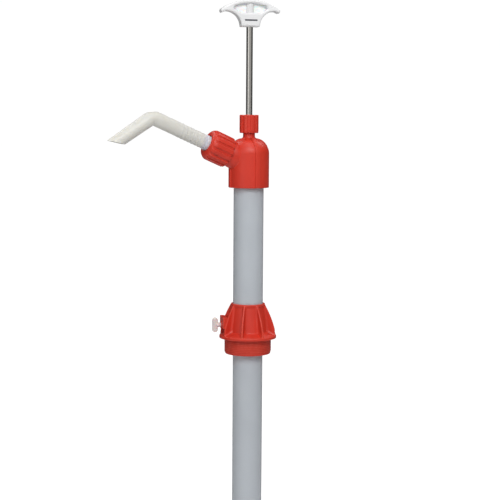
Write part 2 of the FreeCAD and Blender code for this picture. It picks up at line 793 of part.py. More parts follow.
def handle_outline():
    """The right half, from the neck's foot round the grip's tip to the crown."""
    return [
        ("handle_neck_half", "handle_bottom"),
        ("handle_neck_half", "handle_bottom + handle_neck_straight"),
        ("handle_under_reach", "handle_bottom + handle_under_height", "handle_under_curve", -1),
        (f"{TIP_X} + handle_tip_radius * cos(handle_tip_lean)",
         f"{TIP_Z} - handle_tip_radius * sin(handle_tip_lean)"),
        (CROWN_X, CROWN_Z, "handle_tip_radius", 1),
    ]


def make_handle():
    body = new_body("handle")
    right = handle_outline()
    left = mirrored(right)
    left[0] = left[0][:2] + ("handle_top_curve", 1)
    outline = new_sketch(body, "XZ_Plane")
    draw_outline(outline, right + left)
    extrude(body, "Pad", outline, "handle_thickness", midplane=True)

    inner_curve = "(handle_top_curve - handle_rim)"
    window_top = (f"{HANDLE_TOP} - handle_top_curve"
                  f" + sqrt({inner_curve} * {inner_curve} - handle_window_half * handle_window_half)")
    window_floor = f"{HANDLE_TOP} - handle_rim - handle_window_height"
    shoulder = f"{window_floor} + handle_window_shoulder"
    for side in ("1", "-1"):
        window = new_sketch(body, "XZ_Plane", offset={"z": f"{side} * handle_web / 2"})
        draw_outline(window, [
            ("-handle_window_floor_half", window_floor),
            ("handle_window_floor_half", window_floor),
            ("handle_window_half", shoulder),
            ("handle_window_half", window_top),
            ("-handle_window_half", window_top, inner_curve, 1),
            ("-handle_window_half", shoulder),
        ])
        extrude(body, "Pocket", window, "handle_thickness", reverse=side == "1")

    socket = new_sketch(body, "XZ_Plane")
    boss_top = f"{HANDLE_TOP} - handle_rim / 2"
    draw_outline(socket, box_corners(
        "0", "handle_bottom", "rod_radius + handle_socket_wall", boss_top))
    spin(body, "Revolution", socket)
    bore = new_sketch(body, "XZ_Plane")
    draw_outline(bore, box_corners("0", "handle_bottom - seat_gap", "rod_radius", SOCKET_TOP))
    spin(body, "Groove", bore)
    body.Placement = FreeCAD.Placement(Vector(), FreeCAD.Rotation(-Z_AXIS, 10))
    bind(body, Placement__Rotation__Angle="-handle_angle")
    return body


# ---------------------------------------------------------------- piston

def make_piston_body():
    top = PISTON_TOP
    roof = "piston_skirt + piston_chamber"
    chamber = "piston_ball_radius + piston_ball_room"
    cage = f"{chamber} + piston_cage_wall"
    body = turned("piston_body", [
        (PISTON_INLET, "0"),
        (PISTON_RADIUS, "0"),
        (PISTON_RADIUS, "piston_ring_bottom"),
        (PISTON_RING_BORE, "piston_ring_bottom"),
        (PISTON_RING_BORE, "piston_ring_bottom + piston_ring_height"),
        (PISTON_RADIUS, "piston_ring_bottom + piston_ring_height"),
        (PISTON_RADIUS, "piston_skirt"),
        (cage, "piston_skirt"),
        (cage, f"{top} - piston_tip"),
        (f"{cage} - piston_tip", top),
        ("rod_radius", top),
        ("rod_radius", f"{top} - piston_socket"),
        ("0", f"{top} - piston_socket"),
        ("0", roof),
        (chamber, roof),
        (chamber, "piston_skirt"),
        (PISTON_INLET, "piston_skirt"),
    ])
    window = new_sketch(body, "YZ_Plane")
    half = "piston_window_width / 2"
    bottom = "piston_skirt + seat_gap"
    draw_outline(window, box_corners(f"-{half}", bottom, half, f"{bottom} + piston_window_height"))
    window_cut = extrude(body, "Pocket", window, PISTON_RADIUS, reverse=True)
    around(body, window_cut, "piston_window_count")
    return lift(body, PISTON_BOTTOM)


def make_piston_ring():
    """The slippery split ring that seals the piston in the tube."""
    return ring("piston_ring", f"{PISTON_RING_BORE} + running_gap",
                f"{TUBE_BORE} - running_gap",
                f"{PISTON_BOTTOM} + piston_ring_bottom + seat_gap",
                "piston_ring_height - 2 * seat_gap")


def seated(radius, inlet):
    """How far a ball's centre stands above the edge of the hole it closes."""
    return f"(sqrt({radius} * {radius} - {inlet} * {inlet}) + seat_gap)"


def make_piston_ball():
    rise = seated("piston_ball_radius", PISTON_INLET)
    return ball("piston_ball", "piston_ball_radius", f"{PISTON_BOTTOM} + piston_skirt + {rise}")


def make_jam_nut():
    """A hexagon nut that locks the rod in the piston."""
    nut = doc.addObject("Part::Prism", "jam_nut_hexagon")
    nut.Polygon = 6
    bottom = f"{PISTON_BOTTOM} + {PISTON_TOP}"
    bind(nut, Circumradius="(rod_radius + jam_nut_wall) / cos(30)", Height="jam_nut_height",
         Placement__Base__z=bottom)
    bore = doc.addObject("Part::Cylinder", "jam_nut_bore")
    bind(bore, Radius="rod_radius", Height="jam_nut_height", Placement__Base__z=bottom)
    return cut_from("piston_jam_nut", nut, bore)


# ---------------------------------------------------------------- foot valve

def make_foot_valve_body():
    plug = f"{TUBE_BORE} - running_gap"
    ring_floor = f"{plug} - foot_ring_depth"
    return lift(turned("foot_valve_body", [
        (FOOT_INLET, "-foot_flange"),
        ("tube_radius", "-foot_flange"),
        ("tube_radius", "0"),
        (plug, "0"),
        (plug, "foot_ring_bottom"),
        (ring_floor, "foot_ring_bottom"),
        (ring_floor, "foot_ring_bottom + foot_ring_height"),
        (plug, "foot_ring_bottom + foot_ring_height"),
        (plug, "foot_plug"),
        ("foot_ball_radius + foot_ball_room", "foot_plug"),
        ("foot_ball_radius + foot_ball_room", "foot_seat"),
        (FOOT_INLET, "foot_seat"),
    ]), TUBE_BOTTOM)


def make_foot_o_ring():
    return ring("foot_o_ring", f"{TUBE_BORE} - running_gap - foot_ring_depth",
                f"{TUBE_BORE} - running_gap / 3",
                f"{TUBE_BOTTOM} + foot_ring_bottom + seat_gap", "foot_ring_height - 2 * seat_gap")


def make_foot_ball():
    rise = seated("foot_ball_radius", FOOT_INLET)
    return ball("foot_ball", "foot_ball_radius", f"{TUBE_BOTTOM} + foot_seat + {rise}")


def make_foot_ball_guard():
    """A ring with one bar across it, which keeps the ball in its chamber."""
    bottom = f"{TUBE_BOTTOM} + foot_plug"
    outer = f"{TUBE_BORE} - running_gap"
    rim = ring("foot_guard_rim", f"{outer} - foot_guard_wall", outer, bottom, "foot_guard")
    half_bar = f"({outer} - foot_guard_wall + foot_guard_bar_grip)"
    bar = doc.addObject("Part::Box", "foot_guard_bar_box")
    bind(bar, Length=f"2 * {half_bar}", Width="foot_guard_bar", Height="foot_guard",
         Placement__Base__x=f"-{half_bar}", Placement__Base__y="-foot_guard_bar / 2",
         Placement__Base__z=bottom)
    guard = fused("foot_ball_guard", [rim, bar])
    guard.Label = "foot_ball_guard"
    return guard


def make_foot_strainer():
    """A slotted cup under the foot valve that keeps dirt out of it."""
    floor = "-foot_flange - strainer_height"
    outer = "(tube_radius - strainer_inset)"
    inner = f"{outer} - strainer_wall"
    body = turned("foot_strainer", [
        ("0", floor),
        (inner, floor),
        (outer, f"{floor} + strainer_wall"),
        (outer, "-foot_flange"),
        (inner, "-foot_flange"),
        (inner, f"{floor} + strainer_wall"),
        ("0", f"{floor} + strainer_wall"),
    ])
    slot = new_sketch(body, "YZ_Plane")
    half = "strainer_slot_width / 2"
    bottom = f"{floor} + 2 * strainer_wall"
    draw_outline(slot, box_corners(f"-{half}", bottom, half, f"{bottom} + strainer_slot_height"))
    cut = extrude(body, "Pocket", slot, "tube_radius", reverse=True)
    around(body, cut, "strainer_slots")
    return lift(body, TUBE_BOTTOM)


# ---------------------------------------------------------------- build and write

PIECES = [
    make_bung_adapter, make_adapter_seal, make_tube, make_head, make_tube_o_ring,
    make_rod_packing, make_gland_follower, make_packing_nut, make_spout_nut,
    make_spout_gasket, make_spout, make_rod, make_handle, make_piston_body,
    make_piston_ring, make_piston_ball, make_jam_nut, make_foot_valve_body,
    make_foot_o_ring, make_foot_ball, make_foot_ball_guard, make_foot_strainer,
]


def check_document(pieces):
    """Stops with a message if anything failed, or if a cut took nothing away."""
    for item in doc.Objects:
        bad = [state for state in item.State if state in ("Invalid", "Error")]
        if bad:
            raise RuntimeError(f"{item.Name} ({item.Label}) is {bad}")
    for item in doc.Objects:
        if item.TypeId in ("PartDesign::Pocket", "PartDesign::Groove"):
            if item.Shape.Volume >= item.BaseFeature.Shape.Volume - 1e-6:
                raise RuntimeError(f"{item.Name} cuts nothing")
    for piece in pieces:
        shape = piece.Shape
        if shape.isNull() or not shape.isValid() or not shape.Solids:
            raise RuntimeError(f"{piece.Label} has no sound solid")


def main():
    pieces = [make() for make in PIECES]
    pieces.append(place_thumb_screw(make_thumb_screw()))
    doc.recompute()
    check_document(pieces)
    os.makedirs("parts", exist_ok=True)
    for piece in pieces:
        piece.Shape.exportStep(f"parts/{piece.Label}.step")
        box = piece.Shape.BoundBox
        print(f"{piece.Label:18s} {len(piece.Shape.Solids)} solid  {piece.Shape.Volume:10.0f} mm3"
              f"  z {box.ZMin:8.2f} to {box.ZMax:8.2f}")


main()
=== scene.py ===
import math

import bmesh
import bpy
import numpy as np
from mathutils import Matrix, Vector


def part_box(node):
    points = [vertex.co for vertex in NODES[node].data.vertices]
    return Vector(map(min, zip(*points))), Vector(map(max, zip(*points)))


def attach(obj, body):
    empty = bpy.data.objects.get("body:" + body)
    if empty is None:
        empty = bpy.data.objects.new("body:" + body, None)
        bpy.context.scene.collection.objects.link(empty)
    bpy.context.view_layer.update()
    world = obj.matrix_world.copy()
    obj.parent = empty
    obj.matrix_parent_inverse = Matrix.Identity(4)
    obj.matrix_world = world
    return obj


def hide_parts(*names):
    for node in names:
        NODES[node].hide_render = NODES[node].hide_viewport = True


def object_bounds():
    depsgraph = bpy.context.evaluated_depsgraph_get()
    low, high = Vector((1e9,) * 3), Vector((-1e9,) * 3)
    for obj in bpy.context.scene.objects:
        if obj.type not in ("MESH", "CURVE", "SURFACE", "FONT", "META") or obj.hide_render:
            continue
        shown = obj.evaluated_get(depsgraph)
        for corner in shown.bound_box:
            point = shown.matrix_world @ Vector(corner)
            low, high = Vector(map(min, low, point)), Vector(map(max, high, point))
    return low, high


# Hand drum barrel pump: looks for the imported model, in metres.
# The origin is where the bung adapter's flange rests on the drum. +Z runs up the tube, and the
# spout points towards -X.

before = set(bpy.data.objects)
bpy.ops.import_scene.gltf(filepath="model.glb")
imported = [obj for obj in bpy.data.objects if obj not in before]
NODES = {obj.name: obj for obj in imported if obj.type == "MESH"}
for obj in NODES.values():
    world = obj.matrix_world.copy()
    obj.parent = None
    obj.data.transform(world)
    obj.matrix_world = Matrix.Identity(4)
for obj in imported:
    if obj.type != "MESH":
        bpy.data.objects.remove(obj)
CAD_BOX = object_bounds()
SCENE = bpy.context.scene
MM = 0.001
WELD_GAP = 1e-6

# sizes read from the frame
FLOOR_Z = CAD_BOX[0].z
TUBE_LOW, TUBE_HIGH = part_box("tube")
HEAD_LOW, HEAD_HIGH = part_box("head")
PACKING_NUT_LOW, PACKING_NUT_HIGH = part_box("packing_nut")
ROD_LOW, ROD_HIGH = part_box("rod")
HANDLE_LOW, HANDLE_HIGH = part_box("handle")
ADAPTER_LOW, ADAPTER_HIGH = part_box("bung_adapter")
STRAINER_LOW, STRAINER_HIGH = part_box("foot_strainer")
TUBE_RADIUS = TUBE_HIGH.x
TUBE_WALL = 2.4 * MM
ROD_RADIUS = ROD_HIGH.x
HANDLE_HEIGHT = HANDLE_HIGH.z - HANDLE_LOW.z - 0.02 * MM

# head
HEAD_RADIUS = 25.71 * MM
NECK_RADIUS = 7.55 * MM
NECK_FILLET = 4.5 * MM
DOME_BASE = HEAD_LOW.z + 43 * MM
DOME_RADIUS = HEAD_RADIUS - NECK_RADIUS
HEAD_SOCKET = TUBE_RADIUS + 0.06 * MM
HEAD_RIB_HALF = 2.9 * MM
HEAD_RIB_RISE = 1.3 * MM

# outlet boss, its nut and the spout, along the boss axis
BOSS_TILT = math.radians(23.5)
BOSS_ORIGIN = Vector((0, 0, HEAD_LOW.z + 31.3 * MM))
BOSS_AXIS = Vector((-math.cos(BOSS_TILT), 0, math.sin(BOSS_TILT)))
BOSS_FRAME = (Matrix.Translation(BOSS_ORIGIN)
              @ Matrix.Rotation(-(math.pi / 2 - BOSS_TILT), 4, "Y"))
BOSS_RADIUS = 15.4 * MM
BOSS_END = 55.06 * MM
BOSS_BORE = 8 * MM
BOSS_BORE_START = 18 * MM
BOSS_ROOT_RADIUS = 16.9 * MM
SPOUT_NUT_BACK = BOSS_END - 23 * MM
SPOUT_NUT_FRONT = SPOUT_NUT_BACK + 31 * MM
BOSS_SHOULDER = SPOUT_NUT_BACK - 0.3 * MM
SPOUT_NUT_RADIUS = 19.6 * MM
SPOUT_START = BOSS_END + 2 * MM
SPOUT_RADIUS = 9 * MM
SPOUT_TIP_RADIUS = 8.15 * MM
SPOUT_WALL = 1.9 * MM
SPOUT_COLLAR_RADIUS = 9.5 * MM
SPOUT_FLANGE_RADIUS = 13.4 * MM
SPOUT_ELBOW_FLAT = 1.3 * MM
SPOUT_RIDGE_COUNT = 7
SPOUT_RIDGE_START = SPOUT_START + 15 * MM
SPOUT_RIDGE_PITCH = 5 * MM
SPOUT_ELBOW = SPOUT_START + 85.5 * MM
SPOUT_BEND = math.radians(56.8)
SPOUT_BEND_RADIUS = 10 * MM
SPOUT_DROP = 56 * MM
SPOUT_BEVEL = math.radians(44)

# bung adapter
FLANGE_RADIUS = 36.45 * MM
SKIRT_FOOT = (25.5 * MM, 9 * MM)
SKIRT_TOP = (21.31 * MM, 40.3 * MM)
COLLAR_RADIUS = 21.86 * MM
THREAD_CORE = 29.05 * MM
THREAD_PITCH = 2.2 * MM
THREAD_TAPER = 14.0
GUSSET_HALF = 1.25 * MM
GUSSET_RADIUS = 35.9 * MM
GUSSET_SHOULDER = 9 * MM
GUSSET_BULGE = 1.5 * MM
GUSSET_FIRST = math.radians(143)
GUSSET_COUNT = 8
SCREW_ANGLE = math.radians(165.5)
SCREW_HEIGHT = 17 * MM
SCREW_RADIUS = 2.62 * MM
SCREW_WING_HALF = 3.5 * MM
SCREW_WING_REACH = 9.4 * MM
SCREW_WING_FOOT = 39.0 * MM

# grip, its window and the web across it; heights from the grip's foot
HANDLE_TURN = math.radians(-13)
HANDLE_DEPTH = 16 * MM
HANDLE_EDGE = 2.0 * MM
HANDLE_NECK_HALF = 11.9 * MM
HANDLE_HALF = 37.8 * MM
HANDLE_TIP_RADIUS = 2.9 * MM
HANDLE_TIP_DROP = 14 * MM
HANDLE_ARM_RADIUS = 18.8 * MM
HANDLE_CROWN_RADIUS = 64 * MM
WINDOW_FLOOR = HANDLE_HEIGHT - 16.8 * MM
WINDOW_FLOOR_HALF = 11.5 * MM
WINDOW_HALF = 21.4 * MM
WINDOW_CROWN_RADIUS = 59.4 * MM
WEB_THICKNESS = 4 * MM
POST_RADIUS = 5.5 * MM
MARK_HALF = 8.0 * MM
MARK_HALF_HEIGHT = 0.95 * MM

# strainer
STRAINER_RADIUS = 15.5 * MM
STRAINER_BORE = 13.5 * MM
STRAINER_BARS = 12

# studio: lights as azimuth, elevation, distance, width, height and watts
LIGHTS = {
    "key_left": (-60, 12, 1.5, 0.6, 1.3, 2.4),
    "front": (-14, 36, 2.2, 1.2, 0.9, 27),
    "top": (-25, 80, 2.2, 1.0, 1.0, 10),
    "back_right": (105, 48, 2.2, 1.2, 0.9, 11),
    "back_left": (205, 48, 2.2, 1.2, 0.9, 11),
}
LIGHT_AIM = Vector((0, 0, 0.2))
SURROUND = 0.6
SURROUND_LOW = 0.05
BACKDROP = 1.02
FLOOR_SIZE = 40
FLOOR_GLOW = 0.9
CAMERA_AZIMUTH = math.radians(-25)
CAMERA_DISTANCE = 1.8
CAMERA_HEIGHT = 0.284
CAMERA_YAW = math.radians(-25.071)
CAMERA_PITCH = math.radians(90 - 5.45)
CAMERA_ROLL = math.radians(0.37)
CAMERA_LENS = 102.28
CAMERA_SENSOR = 36


# -------------------- outlines

def arc(centre, radius, start, end, steps=16):
    """Points on an arc, angles in degrees."""
    turns = np.radians(np.linspace(start, end, steps))
    return [(centre[0] + radius * math.cos(a), centre[1] + radius * math.sin(a)) for a in turns]


def rounded(corners, closed=True, steps=6):
    """An outline through (x, y, radius) corners, each rounded by its own radius."""
    count = len(corners)
    points = []
    for i, (x, y, radius) in enumerate(corners):
        here = Vector((x, y))
        if radius == 0 or (not closed and i in (0, count - 1)):
            points.append((x, y))
            continue
        before = (Vector(corners[i - 1][:2]) - here).normalized()
        after = (Vector(corners[(i + 1) % count][:2]) - here).normalized()
        half = before.angle(after) / 2
        reach = radius / math.tan(half)
        centre = here + (before + after).normalized() * radius / math.sin(half)
        a, b = here + before * reach - centre, here + after * reach - centre
        turn = a.angle_signed(b)
        for k in range(steps + 1):
            spun = Matrix.Rotation(-turn * k / steps, 2) @ a
            points.append(tuple(centre + spun))
    return points


def even(points, longest, closed=False):
    """The same outline with long runs divided."""
    ends = points[1:] + points[:1] if closed else points[1:]
    out = []
    for a, b in zip(points, ends):
        parts = max(1, math.ceil(math.dist(a, b) / longest))
        out += [(a[0] + (b[0] - a[0]) * k / parts, a[1] + (b[1] - a[1]) * k / parts)
                for k in range(parts)]
    return out if closed else out + [points[-1]]


# -------------------- meshes

def new_mesh(name, verts, faces):
    mesh = bpy.data.meshes.new(name)
    mesh.from_pydata([tuple(v) for v in verts], [], faces)
    mesh.validate()
    return mesh


def turned(name, outline, sides, closed=True, share=None):
    """A lathe-turned mesh: (radius, height) outline, up the outside and down the bore.
    The attribute "outward" holds each point's outward direction times its rib share."""
    ring_of, verts, outward = [], [], []
    count = len(outline)
    for i, (radius, height) in enumerate(outline):
        before = outline[i - 1] if closed or i else outline[i]
        after = outline[(i + 1) % count] if closed or i < count - 1 else outline[i]
        run = Vector((after[0] - before[0], after[1] - before[1])).normalized()
        weight = share(radius, height) if share else 0
        if radius < 1e-7:
            ring_of.append([len(verts)] * sides)
            verts.append((0, 0, height))
            outward.append((0, 0, 0))
            continue
        ring_of.append(list(range(len(verts), len(verts) + sides)))
        for k in range(sides):
            a = math.tau * k / sides
            verts.append((radius * math.cos(a), radius * math.sin(a), height))
            outward.append((run.y * math.cos(a) * weight, run.y * math.sin(a) * weight,
                            -run.x * weight))
    faces = []
    for i in range(count if closed else count - 1):
        low, high = ring_of[i], ring_of[(i + 1) % count]
        for k in range(sides):
            m = (k + 1) % sides
            face = [low[k], low[m], high[m], high[k]]
            faces.append(tuple(dict.fromkeys(face)))
    mesh = new_mesh(name, verts, faces)
    if share:
        field = mesh.attributes.new("outward", "FLOAT_VECTOR", "POINT")
        field.data.foreach_set("vector", np.array(outward, np.float32).ravel())
    return mesh


def loft(name, loops, closed_ends=True):
    """Skins rings of the same number of points, listed so that the outside is seen counterclockwise."""
    size = len(loops[0])
    verts = [p for ring in loops for p in ring]
    faces = []
    for i in range(len(loops) - 1):
        for k in range(size):
            m = (k + 1) % size
            faces.append((i * size + k, i * size + m, (i + 1) * size + m, (i + 1) * size + k))
    if closed_ends:
        faces.append(tuple(reversed(range(size))))
        faces.append(tuple(range(len(verts) - size, len(verts))))
    return new_mesh(name, verts, faces)


def plate(name, outlines, thickness, edge):
    """A flat plate in XY, with holes, whose edges are rounded over."""
    curve = bpy.data.curves.new(name, "CURVE")
    curve.dimensions = "2D"
    curve.fill_mode = "BOTH"
    curve.extrude = thickness / 2 - edge
    curve.bevel_depth = edge
    curve.bevel_resolution = 4
    curve.offset = -edge
    for outline in outlines:
        spline = curve.splines.new("POLY")
        spline.points.add(len(outline) - 1)
        for point, (x, y) in zip(spline.points, outline):
            point.co = (x, y, 0, 1)
        spline.use_cyclic_u = True
    holder = bpy.data.objects.new(name, curve)
    mesh = bpy.data.meshes.new_from_object(holder)
    bpy.data.objects.remove(holder)
    return mesh


def joined(name, meshes):
    """One mesh from several."""
    verts, faces = [], []
    for mesh in meshes:
        base = len(verts)
        verts += [tuple(v.co) for v in mesh.vertices]
        faces += [tuple(base + i for i in p.vertices) for p in mesh.polygons]
    return new_mesh(name, verts, faces)


def weld(mesh):
    """Merges doubled points and turns every face outwards."""
    work = bmesh.new()
    work.from_mesh(mesh)
    bmesh.ops.remove_doubles(work, verts=work.verts, dist=WELD_GAP)
    bmesh.ops.recalc_face_normals(work, faces=work.faces)
    work.to_mesh(mesh)
    work.free()


def piece(name, mesh, body, material, stands_for=(), crease=35):
    """Puts a finished mesh on its body, with its finish. Edges past the crease angle stay sharp."""
    weld(mesh)
    mesh.name = name
    mesh.materials.clear()
    mesh.materials.append(material)
    mesh.polygons.foreach_set("use_smooth", [True] * len(mesh.polygons))
    mesh.set_sharp_from_angle(angle=math.radians(crease))
    obj = bpy.data.objects.new(name, mesh)
    SCENE.collection.objects.link(obj)
    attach(obj, body)
    if stands_for:
        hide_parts(*stands_for)
    return obj


# -------------------- geometry node trees

def new_tree(name, *inputs):
    """A tree with a Geometry and a Material input, the named ones between them, and its inputs."""
    tree = bpy.data.node_groups.new(name, "GeometryNodeTree")
    face = tree.interface
    face.new_socket("Geometry", in_out="INPUT", socket_type="NodeSocketGeometry")
    for label, kind in inputs:
        face.new_socket(label, in_out="INPUT", socket_type=f"NodeSocket{kind}")
    face.new_socket("Material", in_out="INPUT", socket_type="NodeSocketMaterial")
    face.new_socket("Geometry", in_out="OUTPUT", socket_type="NodeSocketGeometry")
    return tree, tree.nodes.new("NodeGroupInput").outputs


def feed(tree, node, **inputs):
    """Links sockets or sets plain values; keys are socket names with _ for a space, or in_N."""
    for key, source in inputs.items():
        socket = node.inputs[int(key[3:])] if key.startswith("in_") else node.inputs[key.replace("_", " ")]
        if isinstance(source, bpy.types.NodeSocket):
            tree.links.new(source, socket)
        else:
            socket.default_value = source
    return node


def sum_node(tree, operation, *values):
    """One Math node's result."""
    node = tree.nodes.new("ShaderNodeMath")
    node.operation = operation
    return feed(tree, node, **{f"in_{i}": v for i, v in enumerate(values)}).outputs[0]


def close_tree(tree, geometry, material):
    """Realize Instances and Set Material, then out."""
    real = feed(tree, tree.nodes.new("GeometryNodeRealizeInstances"), Geometry=geometry)
    painted = feed(tree, tree.nodes.new("GeometryNodeSetMaterial"),
                   Geometry=real.outputs[0], Material=material)
    feed(tree, tree.nodes.new("NodeGroupOutput"), Geometry=painted.outputs[0])
    return tree


def ribbed_tree():
    """Raises or sinks straight ribs of one width round a turned piece."""
    tree, given = new_tree("ribs_round_a_turning", ("Count", "Int"), ("First angle", "Float"),
                           ("Half width", "Float"), ("Softness", "Float"), ("Rise", "Float"))
    place = tree.nodes.new("GeometryNodeInputPosition").outputs[0]
    xyz = feed(tree, tree.nodes.new("ShaderNodeSeparateXYZ"), Vector=place).outputs
    angle = sum_node(tree, "ARCTAN2", xyz[1], xyz[0])
    step = sum_node(tree, "DIVIDE", math.tau, given["Count"])
    half = sum_node(tree, "DIVIDE", step, 2.0)
    from_first = sum_node(tree, "SUBTRACT", angle, given["First angle"])
    wrapped = sum_node(tree, "FLOORED_MODULO", sum_node(tree, "ADD", from_first, half), step)
    local = sum_node(tree, "SUBTRACT", wrapped, half)
    radius = sum_node(tree, "SQRT", sum_node(
        tree, "ADD", *[sum_node(tree, "MULTIPLY", axis, axis) for axis in xyz[:2]]))
    across = sum_node(tree, "ABSOLUTE", sum_node(
        tree, "MULTIPLY", radius, sum_node(tree, "SINE", local)))
    soft = sum_node(tree, "DIVIDE", given["Softness"], 2.0)
    mask = tree.nodes.new("ShaderNodeMapRange")
    mask.interpolation_type = "SMOOTHSTEP"
    feed(tree, mask, Value=across, From_Min=sum_node(tree, "ADD", given["Half width"], soft),
         From_Max=sum_node(tree, "SUBTRACT", given["Half width"], soft), To_Min=0.0, To_Max=1.0)
    outward = tree.nodes.new("GeometryNodeInputNamedAttribute")
    outward.data_type = "FLOAT_VECTOR"
    feed(tree, outward, Name="outward")
    shift = tree.nodes.new("ShaderNodeVectorMath")
    shift.operation = "SCALE"
    feed(tree, shift, Vector=outward.outputs[0],
         Scale=sum_node(tree, "MULTIPLY", mask.outputs[0], given["Rise"]))
    moved = feed(tree, tree.nodes.new("GeometryNodeSetPosition"),
                 Geometry=given["Geometry"], Offset=shift.outputs[0])
    return close_tree(tree, moved.outputs[0], given["Material"])


def copies_round_tree():
    """Repeats a piece evenly round Z."""
    tree, given = new_tree("copies_round_an_axis", ("Count", "Int"), ("First angle", "Float"))
    spots = tree.nodes.new("GeometryNodeMeshLine")
    feed(tree, spots, Count=given["Count"], Offset=(0, 0, 0))
    index = tree.nodes.new("GeometryNodeInputIndex").outputs[0]
    step = sum_node(tree, "DIVIDE", math.tau, given["Count"])
    turn = sum_node(tree, "MULTIPLY_ADD", index, step, given["First angle"])
    euler = feed(tree, tree.nodes.new("ShaderNodeCombineXYZ"), Z=turn)
    copies = feed(tree, tree.nodes.new("GeometryNodeInstanceOnPoints"), Points=spots.outputs[0],
                  Instance=given["Geometry"], Rotation=euler.outputs[0])
    return close_tree(tree, copies.outputs[0], given["Material"])


def copies_along_tree():
    """Repeats a piece along Z, one pitch apart."""
    tree, given = new_tree("copies_along_an_axis", ("Count", "Int"), ("First height", "Float"),
                           ("Pitch", "Float"))
    first = feed(tree, tree.nodes.new("ShaderNodeCombineXYZ"), Z=given["First height"])
    apart = feed(tree, tree.nodes.new("ShaderNodeCombineXYZ"), Z=given["Pitch"])
    spots = feed(tree, tree.nodes.new("GeometryNodeMeshLine"), Count=given["Count"],
                 Start_Location=first.outputs[0], Offset=apart.outputs[0])
    copies = feed(tree, tree.nodes.new("GeometryNodeInstanceOnPoints"),
                  Points=spots.outputs[0], Instance=given["Geometry"])
    return close_tree(tree, copies.outputs[0], given["Material"])


def thread_tree():
    """A V thread wound up Z, thinning to nothing at both ends."""
    tree, given = new_tree("wound_thread", ("Radius", "Float"), ("Pitch", "Float"),
                           ("Turns", "Float"), ("Depth", "Float"), ("Bottom", "Float"),
                           ("Taper", "Float"))
    spiral = tree.nodes.new("GeometryNodeCurveSpiral")
    feed(tree, spiral, Resolution=96, Rotations=given["Turns"], Start_Radius=given["Radius"],
         End_Radius=given["Radius"], Height=sum_node(tree, "MULTIPLY", given["Turns"], given["Pitch"]))
    lift = feed(tree, tree.nodes.new("ShaderNodeCombineXYZ"), Z=given["Bottom"])
    raised = feed(tree, tree.nodes.new("GeometryNodeTransform"),
                  Geometry=spiral.outputs[0], Translation=lift.outputs[0])
    upright = tree.nodes.new("GeometryNodeSetCurveNormal")
    upright.mode = "Z_UP"
    feed(tree, upright, Curve=raised.outputs[0])
    along = tree.nodes.new("GeometryNodeSplineParameter").outputs[0]
    nearest = sum_node(tree, "MINIMUM", along, sum_node(tree, "SUBTRACT", 1.0, along))
    taper = sum_node(tree, "MINIMUM", sum_node(tree, "MULTIPLY", nearest, given["Taper"]), 1.0)
    profile = feed(tree, tree.nodes.new("GeometryNodeCurvePrimitiveCircle"), Resolution=3,
                   Radius=given["Depth"])
    swept = tree.nodes.new("GeometryNodeCurveToMesh")
    feed(tree, swept, Curve=upright.outputs[0], Profile_Curve=profile.outputs[0], Scale=taper,
         Fill_Caps=True)
    return close_tree(tree, swept.outputs[0], given["Material"])


def grown(base, tree, **values):
    """The plain mesh that a tree makes of a base mesh."""
    holder = bpy.data.objects.new("holder", base)
    SCENE.collection.objects.link(holder)
    modifier = holder.modifiers.new("tree", "NODES")
    modifier.node_group = tree
    for item in tree.interface.items_tree:
        key = item.name.replace(" ", "_")
        if item.in_out == "INPUT" and key in values:
            modifier[item.identifier] = values[key]
    settled = holder.evaluated_get(bpy.context.evaluated_depsgraph_get())
    mesh = bpy.data.meshes.new_from_object(settled)
    bpy.data.objects.remove(holder)
    return mesh


# -------------------- shared shading effects

def effect(name, inputs, outputs):
    group = bpy.data.node_groups.new(name, "ShaderNodeTree")
    for label, default in inputs.items():
        group.interface.new_socket(
            label, in_out="INPUT", socket_type="NodeSocketFloat").default_value = default
    for label in outputs:
        group.interface.new_socket(label, in_out="OUTPUT", socket_type="NodeSocketFloat")
    return group, group.nodes.new("NodeGroupInput").outputs, group.nodes.new("NodeGroupOutput")


def noise(group, scale, detail, coordinates=None):
    node = group.nodes.new("ShaderNodeTexNoise")
    if coordinates is None:
        coordinates = group.nodes.new("ShaderNodeTexCoord").outputs["Object"]
    return feed(group, node, Vector=coordinates, Scale=scale, Detail=detail).outputs["Fac"]


def moulded_skin():
    """Fine spark-eroded texture of a moulded surface, with slow tone drift."""
    group, given, out = effect("moulded_skin", {"Grain scale": 1800.0, "Drift scale": 22.0},
                               ["Height", "Drift"])
    grain = noise(group, given["Grain scale"], 2.0)
    coarse = noise(group, sum_node(group, "MULTIPLY", given["Grain scale"], 0.22), 3.0)
    height = sum_node(group, "MULTIPLY_ADD", coarse, 0.6, sum_node(group, "MULTIPLY", grain, 0.4))
    drift = noise(group, given["Drift scale"], 4.0)
    feed(group, out, Height=height, Drift=drift)
    return group


def handled_edges():
    """Where an edge or a high spot is rubbed paler, broken up so that it isn't even. The paling is partly
    real wear and partly painted highlight along edges.
    """
    group, given, out = effect("handled_edges", {"Amount": 1.0, "Patch scale": 260.0}, ["Worn"])
    point = group.nodes.new("ShaderNodeNewGeometry").outputs["Pointiness"]
    ridge = feed(group, group.nodes.new("ShaderNodeMapRange"), Value=point, From_Min=0.505,
                 From_Max=0.56, To_Min=0.0, To_Max=1.0).outputs[0]
    patch = feed(group, group.nodes.new("ShaderNodeMapRange"),
                 Value=noise(group, given["Patch scale"], 3.0), From_Min=0.35, From_Max=0.7,
                 To_Min=0.25, To_Max=1.0).outputs[0]
    edge_wear_and_highlight = sum_node(group, "MULTIPLY", sum_node(group, "MULTIPLY", ridge, patch), given["Amount"])
    feed(group, out, Worn=edge_wear_and_highlight)
    return group


